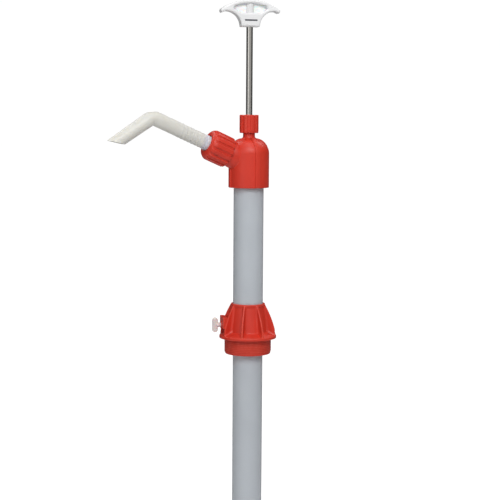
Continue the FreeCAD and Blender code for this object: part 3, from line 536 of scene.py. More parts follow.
def drawn_lines():
    """Fine lines along Z left by grinding, with a slow tone drift."""
    group, given, out = effect("drawn_lines", {"Line scale": 1500.0}, ["Height", "Tone"])
    place = group.nodes.new("ShaderNodeTexCoord").outputs["Object"]
    squeeze = feed(group, group.nodes.new("ShaderNodeMapping"), Vector=place, Scale=(1, 1, 0.012))
    lines = noise(group, given["Line scale"], 3.0, squeeze.outputs[0])
    feed(group, out, Height=lines, Tone=noise(group, 60.0, 2.0, squeeze.outputs[0]))
    return group


MOULDED, EDGE_WEAR_AND_HIGHLIGHT, DRAWN = moulded_skin(), handled_edges(), drawn_lines()


def use(tree, group, **inputs):
    node = tree.nodes.new("ShaderNodeGroup")
    node.node_tree = group
    return feed(tree, node, **inputs).outputs


def blended(tree, factor, first, second):
    mix = tree.nodes.new("ShaderNodeMix")
    mix.data_type = "RGBA"
    tree.links.new(factor, mix.inputs["Factor"])
    for socket, colour in ((mix.inputs["A"], first), (mix.inputs["B"], second)):
        if isinstance(colour, bpy.types.NodeSocket):
            tree.links.new(colour, socket)
        else:
            socket.default_value = (*colour, 1)
    return mix.outputs["Result"]


def spread(tree, source, low, high, out_low, out_high):
    return feed(tree, tree.nodes.new("ShaderNodeMapRange"), Value=source, From_Min=low,
                From_Max=high, To_Min=out_low, To_Max=out_high).outputs[0]


def painted_shade_along_axis(material, origin, axis, start, end, colour):
    """Blends a given colour into a piece's base colour where it lies near its root, measured along an
    axis; used to paint shade.
    """
    tree = material.node_tree
    socket = tree.nodes["Principled BSDF"].inputs["Base Color"]
    place = tree.nodes.new("ShaderNodeTexCoord").outputs["Object"]
    from_root = tree.nodes.new("ShaderNodeVectorMath")
    from_root.operation = "SUBTRACT"
    feed(tree, from_root, in_0=place, in_1=tuple(origin))
    distance = tree.nodes.new("ShaderNodeVectorMath")
    distance.operation = "DOT_PRODUCT"
    feed(tree, distance, in_0=from_root.outputs[0], in_1=tuple(axis))
    share = spread(tree, distance.outputs["Value"], start, end, 1.0, 0.0)
    inner = socket.links[0].from_socket
    tree.links.new(blended(tree, share, inner, colour), socket)


def finish(name, light, dark, gloss, grain=1800.0, depth=0.05 * MM, edge_wear_and_highlight=None, edge_paling_amount=0.6,
           skin=None, **plain):
    """A finish: tone drift between two colours, uneven gloss, fine relief and rubbed edges, whose paler
    colour is partly wear and partly painted edge highlight.
    """
    material = bpy.data.materials.new(name)
    material.use_nodes = True
    tree = material.node_tree
    shader = tree.nodes["Principled BSDF"]
    if skin is DRAWN:
        marks = use(tree, DRAWN, Line_scale=grain)
        tone = marks["Tone"]
    else:
        marks = use(tree, MOULDED, Grain_scale=grain)
        tone = marks["Drift"]
    colour = blended(tree, spread(tree, tone, 0.3, 0.7, 0.0, 1.0), dark, light)
    # Paler edges: partly rubbed wear, partly painted highlight on edges.
    if edge_wear_and_highlight:
        edges = use(tree, EDGE_WEAR_AND_HIGHLIGHT, Amount=edge_paling_amount)["Worn"]
        colour = blended(tree, edges, colour, edge_wear_and_highlight)
    tree.links.new(colour, shader.inputs["Base Color"])
    tree.links.new(spread(tree, marks["Height"], 0.2, 0.8, gloss[0], gloss[1]),
                   shader.inputs["Roughness"])
    bump = feed(tree, tree.nodes.new("ShaderNodeBump"), Height=marks["Height"], Distance=depth,
                Strength=1.0)
    tree.links.new(bump.outputs[0], shader.inputs["Normal"])
    for key, setting in plain.items():
        shader.inputs[key.replace("_", " ")].default_value = setting
    return material


# Each finish's paler edge colour is partly rubbed wear and partly painted highlight on edges.
RED = finish("red_polypropylene", (0.62, 0.036, 0.017), (0.56, 0.028, 0.013), (0.36, 0.50),
             edge_wear_and_highlight=(0.72, 0.10, 0.06), Specular_IOR_Level=0.4)
MILKY = finish("milky_tube_plastic", (0.495, 0.525, 0.56), (0.465, 0.495, 0.53), (0.30, 0.42),
               grain=900.0, depth=0.03 * MM, Subsurface_Weight=0.35, Subsurface_Scale=0.004,
               Subsurface_Radius=(1.0, 1.0, 1.1))
NATURAL = finish("natural_spout_plastic", (0.68, 0.67, 0.62), (0.64, 0.625, 0.575), (0.38, 0.52),
                 grain=1100.0, depth=0.04 * MM, edge_wear_and_highlight=(0.76, 0.75, 0.70),
                 Subsurface_Weight=0.3, Subsurface_Scale=0.003, Subsurface_Radius=(1.0, 0.9, 0.7))
WHITE = finish("white_grip_plastic", (0.77, 0.775, 0.78), (0.735, 0.735, 0.74), (0.30, 0.42),
               grain=1500.0, depth=0.03 * MM, edge_wear_and_highlight=(0.92, 0.92, 0.92))
# The web is the grip's white plastic painted paler: painted light against the shade in the window's
# recess.
WEB_WHITE_PAINTED_LIGHT = finish("thin_white_web", (0.95, 0.95, 0.94), (0.92, 0.92, 0.91), (0.35, 0.45),
                    grain=1500.0, Subsurface_Weight=0.3, Subsurface_Scale=0.004)
NYLON = finish("pale_nylon", (0.72, 0.62, 0.60), (0.66, 0.55, 0.53), (0.38, 0.52), grain=1400.0,
               edge_wear_and_highlight=(0.8, 0.74, 0.72), Subsurface_Weight=0.2, Subsurface_Scale=0.002)
STEEL = finish("ground_steel", (0.60, 0.58, 0.545), (0.52, 0.505, 0.475), (0.14, 0.20),
               grain=1500.0, depth=0.0015 * MM, skin=DRAWN, Metallic=1.0)
BALL_STEEL = finish("polished_ball_steel", (0.70, 0.70, 0.71), (0.62, 0.62, 0.63), (0.05, 0.12),
                    grain=600.0, depth=0.002 * MM, Metallic=1.0)
RUBBER = finish("black_seal_rubber", (0.030, 0.030, 0.031), (0.018, 0.018, 0.018), (0.62, 0.80),
                grain=1200.0, depth=0.06 * MM, edge_wear_and_highlight=(0.07, 0.07, 0.07))
PACKING = finish("graphite_packing", (0.06, 0.055, 0.05), (0.035, 0.032, 0.03), (0.55, 0.75),
                 grain=500.0, depth=0.15 * MM, edge_wear_and_highlight=(0.12, 0.11, 0.10))
PTFE = finish("slippery_white_ring", (0.84, 0.84, 0.82), (0.78, 0.78, 0.755), (0.35, 0.48),
              grain=1000.0, Subsurface_Weight=0.15, Subsurface_Scale=0.002)
VALVE = finish("natural_valve_plastic", (0.78, 0.78, 0.745), (0.72, 0.72, 0.68), (0.34, 0.50),
               grain=1300.0, edge_wear_and_highlight=(0.86, 0.86, 0.84), Subsurface_Weight=0.2, Subsurface_Scale=0.003)
INK = finish("dark_mark_ink", (0.030, 0.034, 0.050), (0.02, 0.022, 0.034), (0.35, 0.5), grain=2500.0)

RIBS, ROUND, ALONG, THREAD = ribbed_tree(), copies_round_tree(), copies_along_tree(), thread_tree()


# -------------------- bung adapter

def flange_top(radius):
    """Height of the flange's sloping top face."""
    rim, foot = (FLANGE_RADIUS - 1.5 * MM, 4 * MM), SKIRT_FOOT
    share = (rim[0] - radius) / (rim[0] - foot[0])
    return rim[1] + (foot[1] - rim[1]) * min(max(share, 0), 1)


def skirt_radius(height):
    share = (height - SKIRT_FOOT[1]) / (SKIRT_TOP[1] - SKIRT_FOOT[1])
    return SKIRT_FOOT[0] + (SKIRT_TOP[0] - SKIRT_FOOT[0]) * min(max(share, 0), 1)


def adapter_shell():
    bore = TUBE_RADIUS + 0.06 * MM
    outline = rounded([
        (bore, ADAPTER_LOW.z, 0.3 * MM),
        (THREAD_CORE - 0.5 * MM, ADAPTER_LOW.z, 0.3 * MM),
        (THREAD_CORE, ADAPTER_LOW.z + 1.2 * MM, 0.3 * MM),
        (THREAD_CORE, 0, 0.2 * MM),
        (FLANGE_RADIUS, 0, 0.5 * MM),
        (FLANGE_RADIUS, 4 * MM, 1.6 * MM),
        (FLANGE_RADIUS - 2.4 * MM, 4 * MM, 0.8 * MM),
        (SKIRT_FOOT[0], SKIRT_FOOT[1] - 1 * MM, 1.8 * MM),
        (SKIRT_TOP[0], SKIRT_TOP[1], 0.8 * MM),
        (COLLAR_RADIUS, SKIRT_TOP[1] + 0.9 * MM, 0.5 * MM),
        (COLLAR_RADIUS, ADAPTER_HIGH.z, 1.0 * MM),
        (bore, ADAPTER_HIGH.z, 0.7 * MM),
    ])
    return turned("adapter_shell", even(outline, 1.5 * MM, closed=True), 192)


def gusset():
    """One upright web with a rounded outer edge and a fillet at its root."""
    heights = list(np.linspace(3 * MM, GUSSET_SHOULDER, 7)) + list(
        np.linspace(GUSSET_SHOULDER, ADAPTER_HIGH.z - 0.9 * MM, 34))[1:]
    top = (COLLAR_RADIUS + 0.15 * MM, heights[-1])
    loops = []
    for z in heights:
        t = max(0.0, (z - GUSSET_SHOULDER) / (top[1] - GUSSET_SHOULDER))
        edge = GUSSET_RADIUS + (top[0] - GUSSET_RADIUS) * t + 4 * GUSSET_BULGE * t * (1 - t)
        edge -= 1.2 * MM * max(0.0, 1 - abs(z - GUSSET_SHOULDER) / (4 * MM)) ** 2 * 0.5
        root = skirt_radius(z) - 0.8 * MM
        edge = max(edge, root + 1.2 * MM)
        side = []
        for u in np.concatenate([np.linspace(0, 0.72, 9), np.linspace(0.8, 1, 7)]):
            r = root + (edge - root) * u
            half = GUSSET_HALF
            half += 1.5 * MM * max(0.0, 1 - max(0.0, r - skirt_radius(z)) / (2.2 * MM)) ** 2
            half += 1.1 * MM * max(0.0, 1 - max(0.0, z - flange_top(r)) / (1.8 * MM)) ** 2
            from_edge = (edge - r) / (1.1 * MM)
            if from_edge < 1:
                half *= 0.25 + 0.75 * math.sqrt(max(0.0, 1 - (1 - from_edge) ** 2))
            side.append((r, half))
        loops.append([(r, -h, z) for r, h in side] + [(r, h, z) for r, h in reversed(side)])
    return loft("gusset", loops)


def screw_block():
    """The bar between two gussets that the thumb screw is threaded through."""
    outer, inner = 34 * MM, 28 * MM
    spread_out, spread_in = outer * math.tan(math.pi / 8), inner * math.tan(math.pi / 8)
    outline = rounded([
        (inner, -spread_in, 0.5 * MM), (outer, -spread_out, 0.8 * MM),
        (outer, spread_out, 0.8 * MM), (inner, spread_in, 0.5 * MM)])
    bar = plate("screw_block", [outline], 14.4 * MM, 0.9 * MM)
    bar.transform(Matrix.Rotation(SCREW_ANGLE, 4, "Z") @ Matrix.Translation((0, 0, 20.6 * MM)))
    lip = turned("screw_lip", rounded([
        (3.1 * MM, 31 * MM, 0.2 * MM), (5.2 * MM, 31 * MM, 0.2 * MM),
        (4.9 * MM, 35.2 * MM, 0.5 * MM), (3.1 * MM, 35.2 * MM, 0.3 * MM)]), 64)
    lip.transform(Matrix.Translation((0, 0, SCREW_HEIGHT)) @ Matrix.Rotation(SCREW_ANGLE, 4, "Z")
                  @ Matrix.Rotation(math.pi / 2, 4, "Y"))
    return joined("screw_block", [bar, lip])


def make_adapter():
    piece("adapter_shell", adapter_shell(), "adapter", RED, ["bung_adapter"])
    webs = grown(gusset(), ROUND, Count=GUSSET_COUNT, First_angle=GUSSET_FIRST, Material=RED)
    piece("adapter_gussets", webs, "adapter", RED)
    turns = (-ADAPTER_LOW.z - 3.2 * MM) / THREAD_PITCH
    wound = grown(new_mesh("seed", [(0, 0, 0)], []), THREAD, Radius=THREAD_CORE + 0.32 * MM,
                  Pitch=THREAD_PITCH, Turns=turns, Depth=0.78 * MM,
                  Bottom=ADAPTER_LOW.z + 1.9 * MM, Taper=THREAD_TAPER, Material=RED)
    piece("adapter_thread", wound, "adapter", RED, crease=50)
    piece("adapter_screw_block", screw_block(), "adapter", RED)


def make_thumb_screw():
    """Shank along +X of its own frame, wing upright at its outer end."""
    tip, foot = TUBE_RADIUS + 0.05 * MM, SCREW_WING_FOOT
    shank = turned("shank", even(rounded([
        (0, tip, 0), (2.2 * MM, tip, 0.3 * MM), (SCREW_RADIUS, tip + 0.8 * MM, 0.2 * MM),
        (SCREW_RADIUS, 36 * MM, 0.2 * MM), (3.0 * MM, 36.6 * MM, 0.3 * MM),
        (3.0 * MM, foot + 2 * MM, 0), (0, foot + 2 * MM, 0)], closed=False), 2 * MM), 48,
        closed=False)
    wound = grown(new_mesh("seed", [(0, 0, 0)], []), THREAD, Radius=2.72 * MM, Pitch=1.25 * MM,
                  Turns=12.0, Depth=0.32 * MM, Bottom=tip + 1 * MM, Taper=THREAD_TAPER,
                  Material=NYLON)
    stem = joined("stem", [shank, wound])
    stem.transform(Matrix.Rotation(math.pi / 2, 4, "Y"))
    half, reach = SCREW_WING_HALF, SCREW_WING_REACH
    outline = arc((0, reach - half), half, 0, 180, 17) + arc((0, half - reach), half, 180, 360, 17)
    wing = plate("wing", [outline], 5 * MM, 2.0 * MM)
    wing.transform(Matrix.Translation((foot + half, 0, 0)) @ Matrix.Rotation(math.pi / 2, 4, "X"))
    screw = joined("thumb_screw_winged", [stem, wing])
    screw.transform(Matrix.Translation((0, 0, SCREW_HEIGHT)) @ Matrix.Rotation(SCREW_ANGLE, 4, "Z"))
    piece("thumb_screw_winged", screw, "thumb_screw", NYLON, ["thumb_screw"])


# -------------------- tube and head

def make_tube():
    bore = TUBE_RADIUS - TUBE_WALL
    outline = rounded([
        (bore, TUBE_LOW.z, 0.4 * MM), (TUBE_RADIUS, TUBE_LOW.z, 0.4 * MM),
        (TUBE_RADIUS, TUBE_HIGH.z, 0.4 * MM), (bore, TUBE_HIGH.z, 0.4 * MM)])
    piece("pump_tube", turned("pump_tube", even(outline, 25 * MM, closed=True), 160), "barrel",
          MILKY, ["tube"])


def head_shell():
    reach = DOME_RADIUS + NECK_FILLET
    lean = math.degrees(math.acos(NECK_FILLET / reach))
    rise = math.sqrt(reach ** 2 - NECK_FILLET ** 2)
    packing, rod_hole, bore = 5.6 * MM, ROD_RADIUS + 0.35 * MM, TUBE_RADIUS - TUBE_WALL
    top = HEAD_HIGH.z
    outside = rounded([
        (HEAD_SOCKET, HEAD_LOW.z + 5 * MM, 0), (HEAD_SOCKET, HEAD_LOW.z, 0.5 * MM),
        (HEAD_RADIUS, HEAD_LOW.z, 1.1 * MM), (HEAD_RADIUS, DOME_BASE, 0)], closed=False)
    dome = arc((NECK_RADIUS, DOME_BASE), DOME_RADIUS, 0, lean, 40)
    fillet = arc((NECK_RADIUS + NECK_FILLET, DOME_BASE + rise), NECK_FILLET, 180 + lean, 180, 14)
    inside = rounded([
        (NECK_RADIUS, DOME_BASE + rise, 0), (NECK_RADIUS, top, 0.4 * MM),
        (packing, top, 0.3 * MM), (packing, top - 14 * MM, 0.1 * MM),
        (rod_hole, top - 14 * MM, 0.1 * MM), (rod_hole, DOME_BASE + 13 * MM, 0),
        (bore, DOME_BASE, 2 * MM), (bore, TUBE_HIGH.z, 0.1 * MM),
        (HEAD_SOCKET, TUBE_HIGH.z, 0)], closed=False)
    outline = even(outside[:-1] + dome + fillet[1:] + inside[1:], 2.4 * MM, closed=True)

    def share(radius, height):
        if radius < NECK_RADIUS + 0.4 * MM or height < HEAD_LOW.z + 0.2 * MM:
            return 0.0
        if radius < bore + 0.01 * MM and height < DOME_BASE + 1 * MM:
            return 0.0
        if radius < HEAD_SOCKET + 0.6 * MM and height < TUBE_HIGH.z + 1 * MM:
            return 0.0
        near_neck = min(1.0, (radius - NECK_RADIUS) / (3 * MM))
        return near_neck * min(1.0, (height - HEAD_LOW.z) / (1.2 * MM))

    shell = turned("head_shell", outline, 480, share=share)
    return grown(shell, RIBS, Count=4, First_angle=0.0, Half_width=HEAD_RIB_HALF,
                 Softness=0.3 * MM, Rise=HEAD_RIB_RISE, Material=RED)


def on_head(point):
    """The nearest spot on the head's plain outside."""
    radial = Vector((point.x, point.y, 0))
    if point.z <= DOME_BASE:
        spot = radial.normalized() * HEAD_RADIUS
        spot.z = point.z
        return spot
    ring = radial.normalized() * NECK_RADIUS + Vector((0, 0, DOME_BASE))
    return ring + (point - ring).normalized() * DOME_RADIUS


def entry(spoke):
    """Where a line beside the boss axis goes into the head."""
    low, high = 10 * MM, 50 * MM
    for _ in range(40):
        middle = (low + high) / 2
        point = spoke + BOSS_AXIS * middle
        inside = (point - on_head(point)).dot(Vector((point.x, point.y, 0.0)).normalized()
                                              + Vector((0, 0, 0.3 if point.z > DOME_BASE else 0)))
        low, high = (middle, high) if inside < 0 else (low, middle)
    return spoke + BOSS_AXIS * high


def boss_mesh():
    """The outlet boss, swelling where it grows out of the head, with its bore."""
    sides, rings = 128, 12
    loops = [[] for _ in range(rings + 1)]
    tail = []
    turn = BOSS_FRAME.to_3x3()
    for k in range(sides):
        a = math.tau * k / sides
        out = turn @ Vector((math.cos(a), math.sin(a), 0))
        start = entry(BOSS_ORIGIN + out * BOSS_ROOT_RADIUS) - BOSS_AXIS * 0.3 * MM
        root = (start - BOSS_ORIGIN).dot(BOSS_AXIS)
        shoulder = BOSS_ORIGIN + out * BOSS_ROOT_RADIUS + BOSS_AXIS * (root + BOSS_SHOULDER) / 2
        end = BOSS_ORIGIN + out * BOSS_RADIUS + BOSS_AXIS * BOSS_SHOULDER
        for i in range(rings + 1):
            t = i / rings
            loops[i].append(start * (1 - t) ** 2 + shoulder * 2 * t * (1 - t) + end * t ** 2)
        tail.append(out)
    for radius, along in ((BOSS_RADIUS, BOSS_END - 0.5 * MM), (BOSS_RADIUS - 0.5 * MM, BOSS_END),
                          (BOSS_BORE, BOSS_END), (BOSS_BORE, BOSS_BORE_START)):
        loops.append([BOSS_ORIGIN + out * radius + BOSS_AXIS * along for out in tail])
    return loft("head_boss", loops + loops[:1], closed_ends=False)


def make_head():
    piece("head_shell", head_shell(), "barrel", RED, ["head"])
    piece("head_boss", boss_mesh(), "barrel", RED)


def make_packing_nut():
    low, high = PACKING_NUT_LOW.z, PACKING_NUT_HIGH.z
    radius, bore, hole = 12.05 * MM, NECK_RADIUS + 0.06 * MM, ROD_RADIUS + 0.35 * MM
    outline = even(rounded([
        (bore, low, 0.3 * MM), (radius - 0.3 * MM, low, 0.8 * MM), (radius, low + 3 * MM, 1 * MM),
        (radius, high, 0.9 * MM), (hole + 2.6 * MM, high, 0.3 * MM),
        (hole, high - 0.6 * MM, 0.2 * MM), (hole, high - 5 * MM, 0.1 * MM),
        (bore, high - 5 * MM, 0.1 * MM)]), 0.8 * MM, closed=True)

    def share(r, _):
        if r < radius - 2 * MM:
            return 0.0
        return min(1.0, max(0.0, (r - radius + 2 * MM) / (1.2 * MM)))

    nut = turned("packing_nut_ribbed", outline, 396, share=share)
    nut = grown(nut, RIBS, Count=9, First_angle=math.radians(45), Half_width=2.1 * MM,
                Softness=0.5 * MM, Rise=-1.2 * MM, Material=RED)
    piece("packing_nut_ribbed", nut, "packing_nut", RED, ["packing_nut"])


# -------------------- spout nut and spout

def make_spout_nut():
    back, front, radius = SPOUT_NUT_BACK, SPOUT_NUT_FRONT, SPOUT_NUT_RADIUS
    bore, mouth = BOSS_RADIUS + 0.06 * MM, SPOUT_COLLAR_RADIUS + 0.6 * MM
    outline = even(rounded([
        (bore, back, 0.4 * MM), (radius - 0.2 * MM, back, 1.0 * MM),
        (radius, back + 4 * MM, 1 * MM), (radius, front, 7.6 * MM),
        (mouth, front, 1.3 * MM), (mouth, front - 3 * MM, 0.3 * MM),
        (bore, front - 3 * MM, 0.3 * MM)], steps=12), 0.9 * MM, closed=True)

    def share(r, height):
        if r < bore + 1.2 * MM:
            return 0.0
        fade = min(1.0, max(0.0, (front - 1.6 * MM - height) / (4 * MM)))
        return fade * min(1.0, (r - bore - 1.2 * MM) / (1.0 * MM))

    nut = turned("spout_nut_ribbed", outline, 448, share=share)
    nut = grown(nut, RIBS, Count=14, First_angle=0.0, Half_width=1.7 * MM, Softness=0.8 * MM,
                Rise=-1.4 * MM, Material=RED)
    nut.transform(BOSS_FRAME)
    piece("spout_nut_ribbed", nut, "spout_nut", RED, ["spout_nut"])


def spout_stations():
    """(place along the run, sideways drop, lean, radius, squeeze) down the spout's middle."""
    setback = SPOUT_BEND_RADIUS * math.tan(SPOUT_BEND / 2)
    flange, collar = SPOUT_FLANGE_RADIUS, SPOUT_COLLAR_RADIUS
    start = SPOUT_START
    out = [(start, flange - 0.3 * MM), (start + 0.3 * MM, flange), (start + 2.7 * MM, flange),
           (start + 3 * MM, flange - 0.3 * MM), (start + 3 * MM, collar),
           (start + 9.2 * MM, collar), (start + 9.8 * MM, collar - 0.2 * MM),
           (start + 10.1 * MM, collar - 0.7 * MM), (start + 10.6 * MM, SPOUT_RADIUS)]
    stations = [(s, 0.0, 0.0, r, 0.0) for s, r in out]
    for s in np.linspace(start + 12 * MM, SPOUT_ELBOW - setback, 16):
        stations.append((s, 0.0, 0.0, SPOUT_RADIUS, 0.0))
    for t in np.linspace(0, 1, 15)[1:-1]:
        lean = SPOUT_BEND * t
        s = SPOUT_ELBOW - setback + SPOUT_BEND_RADIUS * math.sin(lean)
        drop = SPOUT_BEND_RADIUS * (1 - math.cos(lean))
        stations.append((s, drop, lean, SPOUT_RADIUS, math.sin(math.pi * t) ** 2))
    for t in np.linspace(0, 1, 13):
        run = setback + (SPOUT_DROP - setback) * t
        radius = SPOUT_RADIUS + (SPOUT_TIP_RADIUS - SPOUT_RADIUS) * t
        stations.append((SPOUT_ELBOW + run * math.cos(SPOUT_BEND), run * math.sin(SPOUT_BEND),
                         SPOUT_BEND, radius, 0.0))
    return stations


def blend_ring(first, second, t):
    return [a.lerp(b, float(t)) for a, b in zip(first, second)]


def spout_mesh():
    """The bent pipe, open at both ends, its outlet cut at a slant."""
    sides, keep = 96, 9
    stations = spout_stations()
    bevel = SPOUT_BEND + SPOUT_BEVEL
    face = Vector((-math.sin(bevel), 0, math.cos(bevel)))
    tip = Vector((-SPOUT_DROP * math.sin(SPOUT_BEND), 0,
                  SPOUT_ELBOW + SPOUT_DROP * math.cos(SPOUT_BEND)))
    flow = Vector((-math.sin(SPOUT_BEND), 0, math.cos(SPOUT_BEND)))

    def ring(station, shrink):
        """A ring at a station. The bore's, shrunk by the wall, doesn't follow the flange."""
        s, drop, lean, radius, squeeze = station
        across = Vector((-math.cos(lean), 0, -math.sin(lean)))
        reach = min(radius, SPOUT_RADIUS) - shrink if shrink else radius
        points = []
        for k in range(sides):
            a = -math.tau * k / sides
            u, v = math.cos(a) * reach, math.sin(a) * reach
            if squeeze and u < 0:
                u *= 1 - squeeze * SPOUT_ELBOW_FLAT / SPOUT_RADIUS
            points.append(Vector((-drop, 0, s)) + across * u + Vector((0, v, 0)))
        return points

    def cut(points):
        """Slides points past the bevel back along the flow, onto its face."""
        return [p + flow * ((tip - p).dot(face) / flow.dot(face)) for p in points]

    outside = [ring(s, 0) for s in stations]
    inside = [ring(s, SPOUT_WALL) for s in reversed(stations)]
    trimmed_out = outside[:-keep] + [blend_ring(outside[-keep - 1], cut(outside[-1]), t)
                                     for t in np.linspace(0, 1, keep + 1)[1:]]
    trimmed_in = [blend_ring(cut(inside[0]), inside[keep], t)
                  for t in np.linspace(0, 1, keep + 1)[:-1]] + inside[keep:]
    loops = trimmed_out + trimmed_in
    return loft("spout_tube", loops + loops[:1], closed_ends=False)


def make_spout():
    """The pipe and its ring ridges, with painted shade, a little darker and bluer, where it comes out of
    the nut.
    """
    # Painted shade: the spout's root is darkened and blued where the nut's hole shades it.
    painted_shade_along_axis(NATURAL, BOSS_ORIGIN, BOSS_AXIS, SPOUT_START + 11 * MM, SPOUT_START + 16 * MM,
               (0.56, 0.57, 0.62))
    tube = spout_mesh()
    tube.transform(BOSS_FRAME)
    piece("spout_tube", tube, "spout", NATURAL, ["spout"])
    ridge = turned("ridge", [(SPOUT_RADIUS - 0.3 * MM, -1.1 * MM)] + [
        (SPOUT_RADIUS - 0.05 * MM + 0.35 * MM * math.cos(a), 1.0 * MM * math.sin(a))
        for a in np.linspace(-math.pi / 2, math.pi / 2, 9)] + [
        (SPOUT_RADIUS - 0.3 * MM, 1.1 * MM)], 96)
    ridges = grown(ridge, ALONG, Count=SPOUT_RIDGE_COUNT, First_height=SPOUT_RIDGE_START,
                   Pitch=SPOUT_RIDGE_PITCH, Material=NATURAL)
    ridges.transform(BOSS_FRAME)
    piece("spout_ridges", ridges, "spout", NATURAL, crease=60)


# -------------------- rod and handle

def make_rod():
    tip = ROD_RADIUS - 0.6 * MM
    low, high = ROD_LOW.z, ROD_HIGH.z
    outline = even(rounded([
        (0, low, 0), (tip, low, 0.2 * MM), (ROD_RADIUS, low + 0.6 * MM, 0.2 * MM),
        (ROD_RADIUS, high - 0.6 * MM, 0.2 * MM), (tip, high, 0.2 * MM), (0, high, 0)],
        closed=False), 20 * MM)
    piece("lift_rod", turned("lift_rod", outline, 96, closed=False), "rod", STEEL,
          ["rod"])


def handle_outline():
    """Half the grip from its foot round the tip to the crown, then mirrored; heights from the foot."""
    curve, tip_radius, arm = HANDLE_CROWN_RADIUS, HANDLE_TIP_RADIUS, HANDLE_ARM_RADIUS
    tip = Vector((HANDLE_HALF - tip_radius, HANDLE_HEIGHT - HANDLE_TIP_DROP))
    under = Vector((31.5 * MM, HANDLE_HEIGHT - 14.6 * MM))
    neck = Vector((HANDLE_NECK_HALF, 2 * MM))
    chord = under - neck
    middle = (neck + under) / 2
    side = Vector((chord.y, -chord.x)).normalized()
    centre = middle + side * math.sqrt(arm ** 2 - (chord.length / 2) ** 2)
    first = math.degrees(math.atan2(neck.y - centre.y, neck.x - centre.x)) % 360
    last = math.degrees(math.atan2(under.y - centre.y, under.x - centre.x)) % 360
    crown_lean = math.degrees(math.acos(tip.x / (curve - tip_radius)))
    half = rounded([(0, 0, 0), (neck.x, 0, 1.2 * MM), (neck.x, neck.y, 0)], closed=False)[1:-1]
    half += arc(centre, arm, first, last, 22)
    half += arc(tip, tip_radius, -66, crown_lean, 14)
    half += arc((0, HANDLE_HEIGHT - curve), curve, crown_lean, 90, 26)[1:]
    return half + [(-x, y) for x, y in reversed(half[:-1])]


def window_outline():
    """The grip's opening: curved top, sloping sides and rounded corners, except the one at -X
    of its floor. The -X side mirrors the other from the sloping side up."""
    curve, floor, half = WINDOW_CROWN_RADIUS, WINDOW_FLOOR, WINDOW_HALF
    corners = [(-WINDOW_FLOOR_HALF, floor, 0), (WINDOW_FLOOR_HALF, floor, 2.4 * MM),
               (half, floor + 5.2 * MM, 1.6 * MM), (half - 0.6 * MM, floor + 8 * MM, 1.2 * MM)]
    lean = math.degrees(math.acos((half - 3 * MM) / curve))
    top = arc((0, HANDLE_HEIGHT - 4.6 * MM - curve), curve, lean, 180 - lean, 24)
    right = rounded(corners + [(*top[0], 0)], closed=False)
    floor_points = len(rounded(corners[:3], closed=False))
    left = [(-x, y) for x, y in reversed(right[floor_points:])]
    return right[:-1] + top + left[1:]


def make_handle():
    """The grip with its post, the web across its window, painted paler than the grip as painted light in
    the window's recess, and the dark mark at its neck.
    """
    foot, floor = HANDLE_LOW.z, WINDOW_FLOOR
    turn = Matrix.Rotation(HANDLE_TURN, 4, "Z")
    upright = turn @ Matrix.Translation((0, 0, foot)) @ Matrix.Rotation(math.pi / 2, 4, "X")
    window, post_top = window_outline(), HANDLE_HEIGHT - 3.4 * MM
    grip = plate("grip", [handle_outline(), window], HANDLE_DEPTH, HANDLE_EDGE)
    web = plate("web", [[(x * 1.06, floor + (y - floor) * 1.08 - 0.5 * MM) for x, y in window]],
                WEB_THICKNESS, 0.2 * MM)
    grip.transform(upright)
    web.transform(upright)
    post = turned("post", even(rounded([
        (0, 4 * MM, 0), (POST_RADIUS, 4 * MM, 0.3 * MM), (POST_RADIUS, post_top, 0.3 * MM),
        (0, post_top, 0)], closed=False), 3 * MM), 64, closed=False)
    post.transform(turn @ Matrix.Translation((0, 0, foot)))
    piece("handle_grip", joined("handle_grip", [grip, post]), "rod", WHITE,
          ["handle"])
    # The web's paler white is painted light.
    piece("handle_web", web, "rod", WEB_WHITE_PAINTED_LIGHT)
    half, deep = MARK_HALF, MARK_HALF_HEIGHT
    bar = plate("handle_mark", [rounded([(-half, -deep, 0.5 * MM), (half, -deep, 0.5 * MM),
                                         (half, deep, 0.5 * MM), (-half, deep, 0.5 * MM)])],
                0.3 * MM, 0.1 * MM)
    bar.transform(turn @ Matrix.Translation((0.3 * MM, -HANDLE_DEPTH / 2, foot + 8.1 * MM))
                  @ Matrix.Rotation(math.pi / 2, 4, "X"))
    piece("handle_mark", bar, "rod", INK)


# -------------------- strainer and inner pieces

def make_strainer():
    """A cup whose wall is a ring of bars between two hoops."""
    low, high = STRAINER_LOW.z, STRAINER_HIGH.z
    outer, inner = STRAINER_RADIUS, STRAINER_BORE
    slot_low, slot_high = low + 4 * MM, low + 13 * MM
    cup = turned("cup", even(rounded([
        (0, low, 0), (outer, low, 1.8 * MM), (outer, slot_low, 0.2 * MM),
        (inner, slot_low, 0.2 * MM), (inner, low + 2 * MM, 0.6 * MM), (0, low + 2 * MM, 0)],
        closed=False), 3 * MM), 144, closed=False)
    hoop = turned("hoop", rounded([
        (inner, slot_high, 0.2 * MM), (outer, slot_high, 0.2 * MM), (outer, high, 0.2 * MM),
        (inner, high, 0.2 * MM)]), 144)
    half_bar = math.pi / STRAINER_BARS - math.asin(1.5 * MM / outer)
    turns = np.linspace(-half_bar, half_bar, 5)
    ring = [(outer * math.cos(a), outer * math.sin(a)) for a in turns]
    ring += [(inner * math.cos(a), inner * math.sin(a)) for a in turns[::-1]]
    bar = loft("bar", [[(x, y, z) for x, y in ring]
                       for z in (slot_low - 0.3 * MM, slot_high + 0.3 * MM)])
    bars = grown(bar, ROUND, Count=STRAINER_BARS, First_angle=math.radians(15), Material=VALVE)
    piece("strainer_cage", joined("strainer_cage", [cup, hoop, bars]), "barrel", VALVE,
          ["foot_strainer"])


